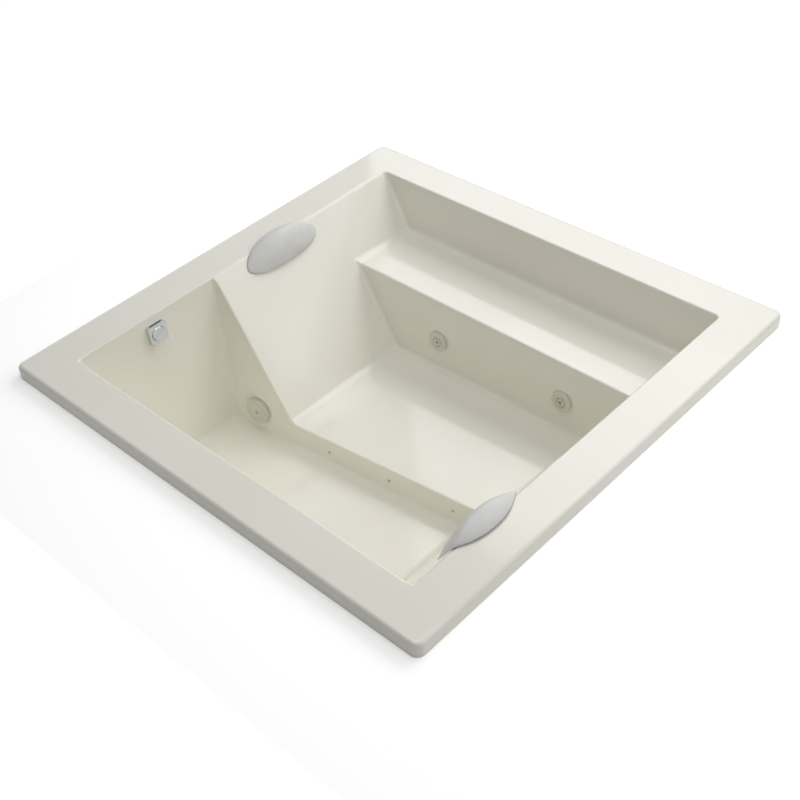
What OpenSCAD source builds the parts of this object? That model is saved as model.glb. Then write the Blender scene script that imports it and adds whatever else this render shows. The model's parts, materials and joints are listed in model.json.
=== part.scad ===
// Drop-in jetted bath for two bathers lying head to toe.
// The bath stands on its timber base at z = 0 and its rim is centred on the origin.
// Millimetres, +Z up. The drain end is at -X, the long shelf is along +Y.

/* [Rim] */
// Length of the rim, along X
tub_l = 1524; // [1480:1:1620]
// Width of the rim, along Y
tub_w = 1524; // [1500:1:1620]
// Height from the base to the top of the rim
tub_h = 572; // [566:1:620]
// Width of the flat rim
rim_w = 127; // [115:1:140]
// Height of the turned-down lip
lip_h = 42; // [36:1:60]
// Plan radius of the outer corners
rim_corner_r = 24; // [20:1:34]
// Radius between the rim top and the lip
rim_edge_r = 12; // [8:1:14]
// Thickness of the acrylic and its reinforced backing
shell_t = 7; // [5:0.5:9]

/* [Basin] */
// Radius of the inside corners
basin_r = 22; // [16:1:28]
// Slope of both backrests from upright, degrees
backrest_slope = 33.5; // [31:0.5:35]
// Draft of the steep end walls, degrees
end_draft = 4.5; // [3.5:0.5:6]
// Draft of the front and back walls, degrees
side_draft = 6.5; // [5:0.5:8]
// Depth of the long shelf below the rim
shelf_depth = 173; // [160:1:190]
// Distance from the back inner rim edge to the front edge of the shelf
shelf_reach = 263; // [240:1:280]
// Draft of the wall under the shelf, degrees
jet_wall_draft = 3.5; // [2:0.5:5]
// Height of the lounge floor at its back corner by the backrest
lounge_h = 145; // [140:1:160]
// Fall of the lounge floor towards the backrest, degrees
lounge_fall = 1.43; // [0:0.01:2]
// Fall of the lounge floor towards the channel, degrees
lounge_drain_fall = 0.8; // [0:0.1:1.5]
// Height of the channel floor at the drain end
channel_h = 53; // [50:1:64]
// Fall of the channel floor towards the drain, degrees
channel_fall = 1.15; // [0.5:0.05:2]
// Place of the divider at rim level, along Y
divider_y = -67; // [-80:1:-50]
// Turn of the divider in plan, degrees
divider_turn = 5.2; // [3:0.1:6]
// Lean of the divider from upright, degrees
divider_lean = 4.1; // [3:0.1:6]
// Place at rim level of the side of the second backrest, along Y
second_side_y = -109; // [-125:1:-95]
// Lean of the side of the second backrest, degrees
second_side_lean = 6; // [5:0.5:8]

/* [Jets] */
// Distances of the shelf jets from the drain end and from the foot end
jet_in = [464, 323];
// Distances of the front jets from the foot end and from the drain end
front_jet_in = [464, 323];
// Height of the shelf jets above the lounge floor
jet_rise = 101.5; // [95:0.5:110]
// Diameter of the turning jet trim
jet_trim_d = 69; // [64:1:74]
// Height that the jet trim stands proud of the wall
jet_trim_h = 9; // [8:0.5:12]
// Diameter of the swivelling nozzle ball
jet_ball_d = 29; // [27:0.5:30]
// Diameter of the water way in the nozzle
jet_bore_d = 10.5; // [8:0.5:12]
// Diameter of the barrel that goes through the wall
jet_barrel_d = 47.2; // [45:0.1:49]
// Length of the jet body behind the wall
jet_body_l = 62; // [58:1:70]

/* [Riser nozzles] */
// Distance of the first small nozzle from the drain end
nozzle_in = 433; // [420:1:445]
// Distance of the last small nozzle from the foot end
nozzle_out = 375; // [360:1:390]
// Height of the small nozzles below the top edge of the riser, measured at the first one
nozzle_drop = 44.5; // [40:0.5:48]
// Diameter of the nozzle opening
nozzle_bore_d = 6; // [4:0.5:7]

/* [Suction] */
// Distance of the suction fitting from the drain end
suction_in = 146; // [139:1:151]
// Height of the suction fitting
suction_z = 127; // [124:1:134]
// Diameter of the suction cover at its face
suction_face_d = 84; // [76:1:88]
// Diameter of the suction cover at the wall
suction_base_d = 94; // [90:1:98]
// Height of the suction cover off the wall
suction_cover_h = 14; // [12:1:18]

/* [Waste and overflow] */
// Distance of the drain and the overflow from the front rim edge
waste_in = 267; // [260:1:275]
// Distance of the drain from the drain end
drain_in = 125; // [115:1:135]
// Depth of the overflow below the rim
overflow_depth = 60; // [52:1:66]
// Width of the square overflow housing
overflow_w = 64; // [58:1:70]
// Depth that the housing stands off the wall
overflow_t = 16; // [14:0.5:20]
// Diameter of the overflow knob
overflow_knob_d = 47; // [42:1:50]
// Diameter of the waste pipe
waste_d = 38.1; // [34:0.1:40]
// Diameter of the drain flange
drain_flange_d = 72; // [66:1:78]
// Diameter of the stopper
stopper_d = 58; // [52:1:60]

/* [Pump and pipes] */
// Diameter of the water pipes
pipe_d = 48.3; // [46:0.1:50]
// Wall of the water pipes
pipe_t = 3.7; // [3:0.1:4.5]
// Diameter of the air pipes
air_d = 16; // [14:0.5:18]
// Diameter of the pump motor
motor_d = 138; // [125:1:146]
// Length of the pump motor
motor_l = 205; // [180:1:220]
// Diameter of the pump casing
volute_d = 148; // [138:1:149]
// Depth of the pump casing
volute_l = 62; // [56:1:68]
// Diameter of the pump shaft
shaft_d = 14; // [12:0.5:16]
// Diameter of the impeller
impeller_d = 104; // [90:1:110]

/* [Pillows] */
// Length of a pillow, along Y
pillow_l = 290; // [270:1:310]
// Width of a pillow over the rim edge
pillow_w = 108; // [96:1:114]
// Thickness of a pillow at its crown
pillow_t = 36; // [30:1:40]
// Middle of the pillow at the drain end, along Y
pillow_y = 137; // [125:1:150]
// Distance of the middle of the foot-end pillow from the front rim edge
pillow_foot_in = 257; // [240:1:275]

/* [Base] */
// Thickness of the rim battens
batten_t = 25; // [20:1:30]
// Width of the rim battens
batten_w = 78; // [60:1:80]
// Thickness of the base board
board_t = 15; // [12:1:18]
// Height of the runners under the base board
runner_h = 20; // [18:1:24]
// Width of the runners
runner_w = 60; // [45:1:70]
// Thickness of the joists under the lounge floor
joist_t = 38; // [30:1:45]

/* [Hidden] */
$fn = 48;

// Overrun of every cut past the face that it leaves
cut = 1;
// Clearance between fixed pieces that pass through each other
fit = 0.3;
// Radial clearance of pieces that turn or slide in one another
run = 0.05;
// Gap under a flat piece that lies on a wall
skim = 0.05;
// Thickness of the rubber gaskets
gasket_t = 2;

// Colours
ACRYLIC = "#E6E4D6";
CHROME = "#C9CBCE";
PILLOW_GREY = "#D4D4D2";
PIPE_WHITE = "#ECEBE6";
TIMBER = "#C9A878";
PLY = "#BE9C6C";
RUBBER = "#3A3A3A";
MOTOR_GREY = "#4C5056";
STEEL = "#B4B6B8";
FOAM = "#D9CBA4";

// Planes. A plane is [outward unit normal, distance], and a block is bounded by six of them.
function unit(v) = v / norm(v);
function plane_at(n, p) = [unit(n), unit(n) * p];
function moved(p, d) = [p[0], p[1] + d];
function turned_over(p) = [-p[0], -p[1]];
function meet(p, q, r) =
  (p[1] * cross(q[0], r[0]) + q[1] * cross(r[0], p[0]) + r[1] * cross(p[0], q[0]))
  / (p[0] * cross(q[0], r[0]));
// Point of a plane over a place in X and Z, and over a place in X and Y
function y_on(p, x, z) = (p[1] - p[0][0] * x - p[0][2] * z) / p[0][1];
function z_on(p, x, y) = (p[1] - p[0][0] * x - p[0][1] * y) / p[0][2];
function x_on(p, y, z) = (p[1] - p[0][1] * y - p[0][2] * z) / p[0][0];

open_l = tub_l - 2 * rim_w;
open_w = tub_w - 2 * rim_w;
rim_z = tub_h;
lip_z = tub_h - lip_h;
back_y = open_w / 2;
shelf_y = back_y - shelf_reach;

// Depths below the rim, and places measured from the inner edges of the rim
lounge_depth = tub_h - lounge_h;
channel_depth = tub_h - channel_h;
suction_x = suction_in - open_l / 2;
drain_x = drain_in - open_l / 2;
waste_y = waste_in - back_y;
jet_x = [jet_in[0] - open_l / 2, open_l / 2 - jet_in[1]];
front_jet_x = [open_l / 2 - front_jet_in[0], front_jet_in[1] - open_l / 2];
nozzle_x = nozzle_in - open_l / 2;
nozzle_pitch = (open_l - nozzle_in - nozzle_out) / 2;
pillow_foot_y = pillow_foot_in - back_y;

// Walls of the basin, as the bather sees them
head_slope = plane_at([-cos(backrest_slope), 0, -sin(backrest_slope)], [-open_l / 2, 0, rim_z]);
foot_slope = plane_at([cos(backrest_slope), 0, -sin(backrest_slope)], [open_l / 2, 0, rim_z]);
drain_end = plane_at([-cos(end_draft), 0, -sin(end_draft)], [-open_l / 2, 0, rim_z]);
lounge_end = plane_at([cos(end_draft), 0, -sin(end_draft)], [open_l / 2, 0, rim_z]);
back_wall = plane_at([0, cos(side_draft), -sin(side_draft)], [0, back_y, rim_z]);
front_wall = plane_at([0, -cos(side_draft), -sin(side_draft)], [0, -back_y, rim_z]);
jet_wall = plane_at([0, cos(jet_wall_draft), -sin(jet_wall_draft)], [0, shelf_y, rim_z - shelf_depth]);
shelf = plane_at([0, 0, -1], [0, 0, rim_z - shelf_depth]);
divider = plane_at([-tan(divider_turn), 1, -tan(divider_lean)], [0, divider_y, rim_z]);
second_side = plane_at([0, -1, -tan(second_side_lean)], [0, second_side_y, rim_z]);
lounge_low = [x_on(head_slope, 0, rim_z - lounge_depth), shelf_y, rim_z - lounge_depth];
lounge_floor = plane_at([tan(lounge_fall), tan(lounge_drain_fall), -1], lounge_low);
channel_low = [x_on(drain_end, 0, rim_z - channel_depth), 0, rim_z - channel_depth];
channel_floor = plane_at([tan(channel_fall), 0, -1], channel_low);

// Planes inside the basin, where one block runs into the next
middle_x = plane_at([-1, 0, 0], [0, 0, 0]);
middle_y = plane_at([0, -1, 0], [0, 0, 0]);
channel_y = plane_at([0, -1, 0], [0, -open_w / 4, 0]);
function lid(z) = plane_at([0, 0, 1], [0, 0, z]);

// The basin is four blocks: [low x, high x, low y, high y, floor].
// The shelf's block stands a hair inside the backrest that it shares with the lounge.
basin = [
  [head_slope, foot_slope, channel_y, jet_wall, lounge_floor],
  [middle_x, lounge_end, second_side, jet_wall, lounge_floor],
  [drain_end, foot_slope, front_wall, divider, channel_floor],
  [moved(head_slope, -skim), lounge_end, middle_y, back_wall, shelf]
];
// Which sides of those blocks are real walls, which take the thickness of the shell.
// Where two blocks share a wall, the shell is a little thinner on the one that comes later.
real_side_share = [
  [1, 1, 0, 1, 1],
  [0, 1, 1, 0.94, 0.94],
  [1, 0.94, 1, 1, 1],
  [0.94, 0.94, 0, 1, 1]
];

// The eight corners of a block
function corners(b, z) = [
  for (k = [b[4], z]) for (j = [2, 3]) for (i = [0, 1]) meet(b[i], b[j], k)
];

module plane_block(b, top) {
  polyhedron(corners(b, top), [
    [0, 1, 3, 2], [4, 6, 7, 5], [0, 4, 5, 1], [2, 3, 7, 6], [0, 2, 6, 4], [1, 5, 7, 3]
  ]);
}

// Directions between three normals: a fan of unit vectors that holds the normals themselves
edge_steps = 6;
function fan(a, b, c) = [
  for (i = [0 : edge_steps]) for (j = [0 : edge_steps - i]) unit(i * a + j * b + (edge_steps - i - j) * c)
];

// A block with its edges rounded to r. Its flat faces lie on the planes of the block.
module round_block(b, top, r) {
  inner = [for (p = b) moved(p, -r)];
  lid_in = moved(top, -r);
  points = [
    for (k = [inner[4], lid_in]) for (j = [2, 3]) for (i = [0, 1])
      let (c = meet(inner[i], inner[j], k))
        for (d = fan(inner[i][0], inner[j][0], k[0])) c + r * d
  ];
  hull()
    polyhedron(points, [for (i = [0 : len(points) - 3]) [i, i + 1, i + 2]]);
}

// Stands children on a point, with their +Z along a direction
module stand(p, d) {
  translate(p)
    rotate([0, acos(unit(d)[2]), atan2(d[1], d[0])])
      children();
}

module tube(h, ro, ri) {
  difference() {
    cylinder(h, ro, ro);
    translate([0, 0, -cut])
      cylinder(h + 2 * cut, ri, ri);
  }
}

// A rod through a list of points, with ball corners that stand proud by bulge
module rod(points, r, bulge = fit) {
  for (i = [0 : len(points) - 2])
    stand(points[i], points[i + 1] - points[i])
      cylinder(norm(points[i + 1] - points[i]), r, r);
  for (i = [1 : 1 : len(points) - 2])
    stand(points[i], points[i + 1] - points[i])
      sphere(r + bulge);
}

// The same points with both ends drawn out by d
function drawn(points, d) =
  let (last = len(points) - 1,
       head = d * unit(points[0] - points[1]),
       tail = d * unit(points[last] - points[last - 1]))
  [for (i = [0 : last]) points[i] + (i == 0 ? head : i == last ? tail : [0, 0, 0])];

// Moulded fitting at a corner: a ball with a collar along each direction
module knuckle(p, directions) {
  stand(p, directions[0])
    sphere(port_r + fit);
  for (d = directions)
    stand(p, d)
      cylinder(knuckle_l, port_r, port_r);
}

// A water pipe through a list of points, with a fitting at each corner
module water_pipe(points) {
  difference() {
    union() {
      rod(points, pipe_d / 2);
      for (i = [1 : 1 : len(points) - 2])
        knuckle(points[i], [points[i - 1] - points[i], points[i + 1] - points[i]]);
    }
    rod(drawn(points, cut), pipe_d / 2 - pipe_t);
  }
}

module slab(l, w, h) {
  translate([-l / 2, -w / 2, 0])
    cube([l, w, h]);
}

// Section of a slab's margin: c deep, h high, top edge rounded to e
module margin(c, h, e) {
  square([c, h - e]);
  square([c - e, h]);
  translate([c - e, h - e])
    intersection() {
      circle(e);
      square([e, e]);
    }
}

// A slab with plan corners of radius c and a top edge of radius e, from z = 0 to h
module soft_slab(l, w, h, c, e) {
  slab(l - 2 * c, w - 2 * c, h);
  for (s = [0, 1])
    rotate([0, 0, 180 * s]) {
      translate([c - l / 2, w / 2 - c, 0])
        rotate([90, 0, 90])
          linear_extrude(l - 2 * c)
            margin(c, h, e);
      translate([l / 2 - c, w / 2 - c, 0])
        rotate([90, 0, 0])
          linear_extrude(w - 2 * c)
            margin(c, h, e);
      for (a = [0, 1])
        translate([(1 - 2 * a) * (l / 2 - c), w / 2 - c, 0])
          rotate([0, 0, 90 * a])
            rotate_extrude(angle = 90)
              margin(c, h, e);
    }
}

// Rim

module rim_skin() {
  translate([0, 0, lip_z])
    difference() {
      soft_slab(tub_l, tub_w, lip_h, rim_corner_r, rim_edge_r);
      translate([0, 0, -cut])
        soft_slab(tub_l - 2 * shell_t, tub_w - 2 * shell_t, lip_h - shell_t + cut,
                  rim_corner_r - shell_t, max(rim_edge_r - shell_t, shell_t / 7));
    }
}

module basin_outside() {
  for (k = [0 : len(basin) - 1])
    plane_block([for (i = [0 : 4]) moved(basin[k][i], shell_t * real_side_share[k][i])],
                lid(rim_z - shell_t / 2));
}

module basin_inside() {
  for (b = basin)
    round_block(b, lid(rim_z + 2 * basin_r), basin_r);
}

module shell_holes() {
  for (k = [0 : 3])
    stand(jet_seat(k), jet_out(k))
      translate([0, 0, -2 * shell_t])
        cylinder(4 * shell_t, jet_barrel_d / 2 + fit, jet_barrel_d / 2 + fit);
  for (k = [0 : 2])
    stand(nozzle_seat(k), divider_out)
      translate([0, 0, -2 * shell_t])
        cylinder(4 * shell_t, nozzle_barrel_r + fit, nozzle_barrel_r + fit);
  stand(suction_seat, divider_out)
    translate([0, 0, -2 * shell_t])
      cylinder(4 * shell_t, suction_barrel_r + fit, suction_barrel_r + fit);
  stand(overflow_seat, overflow_out)
    translate([0, 0, -2 * shell_t])
      cylinder(4 * shell_t, overflow_barrel_r + fit, overflow_barrel_r + fit);
  stand(drain_seat, -channel_floor[0])
    translate([0, 0, -2 * shell_t])
      cylinder(4 * shell_t, drain_barrel_r + fit, drain_barrel_r + fit);
}

module tub_shell() {
  color(ACRYLIC)
    difference() {
      union() {
        rim_skin();
        basin_outside();
      }
      basin_inside();
      shell_holes();
    }
}

// Timber under the rim and under the floors

batten_z = rim_z - shell_t - batten_t;
batten_gap = 6;
batten_x = tub_l / 2 - shell_t - batten_gap - batten_w / 2;
batten_y = tub_w / 2 - shell_t - batten_gap - batten_w / 2;
batten_corner = rim_corner_r;

module end_batten(side) {
  color(TIMBER)
    translate([side * batten_x, 0, batten_z])
      slab(batten_w, 2 * batten_y - batten_w - batten_gap, batten_t);
}

module side_batten(side) {
  color(TIMBER)
    translate([0, side * batten_y, batten_z])
      slab(2 * batten_x + batten_w - 2 * batten_corner, batten_w, batten_t);
}

board_z = runner_h + board_t;
board_x = [-open_l / 2 - shell_t, open_l / 2 - shell_t];
board_y = [-back_y + 5 * shell_t, shelf_y - 4 * shell_t];
runner_y = [board_y[0] + runner_w, divider_y - runner_w, board_y[1] - runner_w];

// Notch in the board that leaves room for the waste
notch_w = drain_flange_d + 4 * shell_t;
module waste_notch(z) {
  translate([board_x[0] - cut, waste_y - notch_w / 2, z - cut])
    cube([drain_x - board_x[0] + drain_flange_d / 2 + 2 * shell_t, notch_w, tub_h / 4]);
}

module base_board() {
  color(PLY)
    difference() {
      translate([board_x[0], board_y[0], runner_h])
        cube([board_x[1] - board_x[0], board_y[1] - board_y[0], board_t]);
      waste_notch(runner_h);
    }
}

module base_runners() {
  color(TIMBER)
    for (y = runner_y)
      translate([board_x[0], y - runner_w / 2, 0])
        cube([board_x[1] - board_x[0], runner_w, runner_h]);
}

// Resin bed between the base board and the channel floor
module channel_bed() {
  bed = [
    plane_at([-1, 0, 0], [channel_low[0] + 2 * basin_r, 0, 0]),
    plane_at([1, 0, 0], [x_on(foot_slope, 0, z_on(channel_floor, open_l / 4, 0)) - 2 * basin_r, 0, 0]),
    plane_at([0, -1, 0], [0, y_on(front_wall, 0, channel_low[2]) + basin_r, 0]),
    plane_at([0, 1, 0], [0, y_on(divider, channel_low[0], channel_low[2]) - basin_r, 0]),
    plane_at([0, 0, -1], [0, 0, board_z])
  ];
  color(FOAM)
    difference() {
      plane_block(bed, turned_over(moved(channel_floor, shell_t + skim)));
      waste_notch(board_z);
    }
}

joist_x = [x_on(head_slope, 0, rim_z - lounge_depth) + 2 * basin_r, open_l / 2 - 4 * basin_r];
module lounge_joist(y) {
  joist = [
    plane_at([-1, 0, 0], [joist_x[0], 0, 0]),
    plane_at([1, 0, 0], [joist_x[1], 0, 0]),
    plane_at([0, -1, 0], [0, y - joist_t / 2, 0]),
    plane_at([0, 1, 0], [0, y + joist_t / 2, 0]),
    plane_at([0, 0, -1], [0, 0, board_z])
  ];
  color(TIMBER)
    plane_block(joist, turned_over(moved(lounge_floor, shell_t + skim)));
}

joist_back_y = shelf_y - 2 * joist_t - basin_r;
joist_front_y = joist_t / 2;
module lounge_joists() {
  for (y = [joist_front_y, (joist_front_y + joist_back_y) / 2, joist_back_y])
    lounge_joist(y);
}

// Pillows: a leaf-shaped cushion that lies over the rim edge and down the backrest

pillow_bend = (90 - backrest_slope) / 2;
pillow_gap = 0.5;
pillow_soft = 8;
pillow_offset = 23;
pillow_curl = 14;
pillow_rings = 22;
pillow_sides = 32;
pillow_span = pillow_l / 2;

function leaf_share(u) = pow(max(1 - pow(abs(u), 2.4), 0), 0.55);
function pillow_mid(u) = pillow_offset + pillow_curl * u * u;
function pillow_under(v) =
  pillow_gap - tan(pillow_bend) * (sqrt(v * v + pillow_soft * pillow_soft) - pillow_soft);
function crown_share(u) = 0.3 + 0.7 * (1 - u * u);
function pillow_point(u, a) =
  let (v = pillow_mid(u) + pillow_w / 2 * leaf_share(u) * cos(a),
       rise = pillow_t * crown_share(u) * leaf_share(u) * pow(abs(sin(a)), 0.9),
       tuck = pillow_t / 6 * leaf_share(u))
  [v, u * pillow_span, pillow_under(v) + tuck + (sin(a) > 0 ? rise - tuck / 2 : -tuck * abs(sin(a)))];

module pillow() {
  us = [for (i = [0 : pillow_rings]) -cos(180 * (i + 0.35) / (pillow_rings + 0.7))];
  rings = [for (u = us) [for (j = [0 : pillow_sides - 1]) pillow_point(u, 360 * j / pillow_sides)]];
  ends = [for (s = [-1, 1]) [pillow_mid(s), s * pillow_span, pillow_under(pillow_mid(s)) + pillow_t / 12]];
  count = len(us) * pillow_sides;
  function at(i, j) = i * pillow_sides + j % pillow_sides;
  polyhedron(
    [for (r = rings) for (p = r) p, ends[0], ends[1]],
    [
      for (i = [0 : len(us) - 2]) for (j = [0 : pillow_sides - 1]) [at(i, j), at(i, j + 1), at(i + 1, j)],
      for (i = [0 : len(us) - 2]) for (j = [0 : pillow_sides - 1]) [at(i, j + 1), at(i + 1, j + 1), at(i + 1, j)],
      for (j = [0 : pillow_sides - 1]) [count, at(0, j + 1), at(0, j)],
      for (j = [0 : pillow_sides - 1]) [count + 1, at(len(us) - 1, j), at(len(us) - 1, j + 1)]
    ]
  );
}

// Carries a pillow's frame to the rim edge: local X runs over the edge and down the backrest
module pillow_place() {
  translate([-open_l / 2, pillow_y, rim_z])
    rotate([0, pillow_bend, 0])
      children();
}

// The pillow at the foot end is the same one, turned half round
module turned() {
  translate([0, pillow_foot_y + pillow_y, 0])
    rotate([0, 0, 180])
      children();
}

cup_r = 19;
cup_h = 3.6;
cup_pitch = pillow_l / 2;
cup_down = 52;
cup_neck_r = 7;
// Distance from the backrest to the pillow's underside over a cup
cup_u = cup_pitch / pillow_l;
cup_v = cup_down * cos(pillow_bend);
cup_across = (cup_v - pillow_mid(cup_u)) / (pillow_w / 2 * leaf_share(cup_u));
cup_lift = cos(pillow_bend)
  * (pillow_under(cup_v) + cup_v * tan(pillow_bend)
     + pillow_t / 6 * leaf_share(cup_u) * (1 - sqrt(1 - cup_across * cup_across)));
cup_neck_h = cup_lift - fit;

module pair_of_cups() {
  for (s = [-1, 1])
    translate([-open_l / 2, pillow_y + s * cup_pitch / 2, rim_z])
      rotate([0, 90 - backrest_slope, 0])
        translate([cup_down, 0, 0])
          rotate_extrude()
            polygon([[0, cup_h / 3], [cup_r - cup_h / 2, 0], [cup_r, 0], [cup_neck_r, cup_h / 2],
                     [cup_neck_r, cup_neck_h], [0, cup_neck_h]]);
}

module pillow_cups() {
  color(RUBBER) {
    pair_of_cups();
    turned()
      pair_of_cups();
  }
}

// Overflow and its knob

overflow_out = -drain_end[0];
overflow_z = rim_z - overflow_depth;
overflow_seat = [x_on(drain_end, 0, overflow_z), waste_y, overflow_z];
overflow_barrel_r = 21;
overflow_edge_r = 7;
knob_seat_t = 3;
knob_post_r = 6;
knob_h = 9;
knob_bar_w = 9;
knob_bar_h = 7;
slot_h = 6;

// Upright square with rounded corners, standing on the wall: local X points down
module overflow_block(w, h, r) {
  for (k = [0, 1])
    slab(w - 2 * r * k, w - 2 * r * (1 - k), h);
  for (x = [-1, 1])
    for (y = [-1, 1])
      translate([x * (w / 2 - r), y * (w / 2 - r), 0])
        cylinder(h, r, r);
}

module overflow_housing() {
  wall = 3;
  front = wall + knob_seat_t;
  color(CHROME)
    stand(overflow_seat, overflow_out)
      difference() {
        union() {
          difference() {
            translate([0, 0, skim])
              overflow_block(overflow_w, overflow_t - skim, overflow_edge_r);
            translate([0, 0, -cut])
              overflow_block(overflow_w - 2 * wall, overflow_t - front + cut, overflow_edge_r - wall);
          }
          translate([0, 0, -shell_t - gasket_t - wall])
            cylinder(overflow_t + shell_t + gasket_t, knob_post_r + wall, knob_post_r + wall);
        }
        translate([0, 0, overflow_t - knob_seat_t])
          cylinder(overflow_t, overflow_knob_d / 2 + fit, overflow_knob_d / 2 + fit);
        translate([0, 0, -overflow_t - shell_t])
          cylinder(3 * overflow_t + shell_t, knob_post_r + run, knob_post_r + run);
        translate([-overflow_w / 2 - cut, -overflow_w / 3, overflow_t / 3])
          cube([wall + 2 * cut, 2 * overflow_w / 3, slot_h]);
      }
}

module overflow_knob() {
  color(CHROME)
    stand(overflow_seat, overflow_out) {
      translate([0, 0, overflow_t - knob_seat_t + fit])
        cylinder(knob_h - knob_bar_h / 2, overflow_knob_d / 2, overflow_knob_d / 2 - knob_seat_t / 2);
      rotate([0, 0, knob_turn])
        translate([0, 0, overflow_t])
          slab(knob_bar_w, overflow_knob_d - 2 * knob_seat_t, knob_h + knob_bar_h / 2 - knob_seat_t + fit);
      translate([0, 0, -shell_t])
        cylinder(overflow_t + shell_t, knob_post_r, knob_post_r);
    }
}
// Resting turn of the bar handle from level
knob_turn = 35;

module overflow_gasket() {
  color(RUBBER)
    stand(overflow_seat, overflow_out)
      translate([0, 0, -shell_t - gasket_t])
        tube(gasket_t - skim, overflow_barrel_r + 3 * gasket_t, overflow_barrel_r - gasket_t);
}

// Chamber behind the wall that leads down to the overflow pipe
elbow_t = waste_d + 2 * pipe_t;
overflow_x = overflow_seat[0] - shell_t - gasket_t - elbow_t / 2;
elbow_r = overflow_barrel_r + 3 * gasket_t;
module overflow_elbow() {
  back = shell_t + gasket_t;
  color(PIPE_WHITE)
    difference() {
      union() {
        stand(overflow_seat, overflow_out)
          translate([0, 0, -back - elbow_t])
            cylinder(elbow_t, elbow_r, elbow_r);
        translate([overflow_x, waste_y, overflow_z - elbow_r - pipe_socket])
          cylinder(elbow_r + pipe_socket, waste_d / 2 + pipe_t, waste_d / 2 + pipe_t);
      }
      stand(overflow_seat, overflow_out)
        translate([0, 0, -back - elbow_t + pipe_t])
          cylinder(elbow_t, overflow_barrel_r - gasket_t, overflow_barrel_r - gasket_t);
      translate([overflow_x, waste_y, overflow_z - elbow_r - pipe_socket - cut])
        cylinder(pipe_socket + cut, waste_d / 2 + run, waste_d / 2 + run);
      translate([overflow_x, waste_y, overflow_z - elbow_r - cut])
        cylinder(elbow_r, waste_bore_r, waste_bore_r);
      stand(overflow_seat, overflow_out)
        translate([0, 0, -back - elbow_t - cut])
          cylinder(elbow_t, cable_r + fit, cable_r + fit);
    }
}
pipe_socket = 18;
waste_bore_r = waste_d / 2 - pipe_t / 2;
cable_r = 3;

waste_z = waste_d / 2 + 1.5 * pipe_t;
tee_l = waste_d + 2 * pipe_socket;
outlet_l = 46;

module overflow_pipe() {
  low = waste_z + tee_l / 2 - pipe_socket + run;
  color(PIPE_WHITE)
    translate([overflow_x, waste_y, low])
      tube(overflow_z - elbow_r - run - low, waste_d / 2, waste_bore_r);
}

// Tee under the overflow pipe; its tail is the waste outlet
module waste_tee() {
  tail = [overflow_x - tee_l / 2 - outlet_l, waste_y, waste_z];
  mouth = [overflow_x + tee_l / 2, waste_y, waste_z];
  top = [overflow_x, waste_y, waste_z + tee_l / 2];
  r = waste_d / 2 + pipe_t;
  color(PIPE_WHITE)
    difference() {
      union() {
        stand(mouth, [-1, 0, 0])
          cylinder(tee_l, r, r);
        stand(tail, [1, 0, 0])
          cylinder(outlet_l + cut, waste_d / 2, waste_d / 2);
        stand([overflow_x, waste_y, waste_z], [0, 0, 1])
          cylinder(tee_l / 2, r, r);
      }
      stand(tail - [cut, 0, 0], [1, 0, 0])
        cylinder(outlet_l + tee_l + 2 * cut, waste_bore_r, waste_bore_r);
      stand(mouth + [cut, 0, 0], [-1, 0, 0])
        cylinder(pipe_socket + cut, waste_d / 2 + run, waste_d / 2 + run);
      stand(top + [0, 0, cut], [0, 0, -1])
        cylinder(pipe_socket + cut, waste_d / 2 + run, waste_d / 2 + run);
      stand(top, [0, 0, -1])
        cylinder(tee_l / 2, waste_bore_r, waste_bore_r);
    }
}

// Drain

drain_seat = [drain_x, waste_y, z_on(channel_floor, drain_x, waste_y)];
drain_up = -channel_floor[0];
drain_barrel_r = 23;
flange_t = 2.5;
flange_down = 26;
hub_r = 7;
stem_r = 4;
spoke_w = 4;
spoke_h = 5;
shoe_r = drain_barrel_r + 2 * pipe_t;

module drain_flange() {
  color(CHROME)
    stand(drain_seat, drain_up) {
      difference() {
        union() {
          translate([0, 0, skim])
            cylinder(flange_t - skim, drain_flange_d / 2, drain_flange_d / 2 - flange_t);
          translate([0, 0, -flange_down])
            cylinder(flange_down + flange_t / 2, drain_barrel_r, drain_barrel_r);
        }
        translate([0, 0, -flange_down - cut])
          cylinder(flange_down + flange_t + 2 * cut, drain_barrel_r - gasket_t, drain_barrel_r - gasket_t);
      }
      translate([0, 0, -flange_down + spoke_h])
        difference() {
          union() {
            cylinder(spoke_h, hub_r, hub_r);
            for (a = [0, 1])
              rotate([0, 0, 90 * a])
                slab(2 * drain_barrel_r - gasket_t, spoke_w, spoke_h);
          }
          translate([0, 0, -cut])
            cylinder(spoke_h + 2 * cut, stem_r + run, stem_r + run);
        }
    }
}

module drain_stopper() {
  cap_z = flange_t + fit;
  color(CHROME)
    stand(drain_seat, drain_up) {
      translate([0, 0, cap_z])
        difference() {
          cylinder(flange_t, stopper_d / 2, stopper_d / 2 - flange_t);
          translate([0, 0, flange_t - gasket_t / 4])
            tube(flange_t, stopper_d / 3, stopper_d / 3 - gasket_t);
        }
      translate([0, 0, -flange_down])
        cylinder(flange_down + cap_z + flange_t / 2, stem_r, stem_r);
    }
}

module drain_gasket() {
  color(RUBBER)
    stand(drain_seat, drain_up)
      translate([0, 0, -shell_t - gasket_t])
        tube(gasket_t - skim, shoe_r, drain_barrel_r + fit);
}

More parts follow.
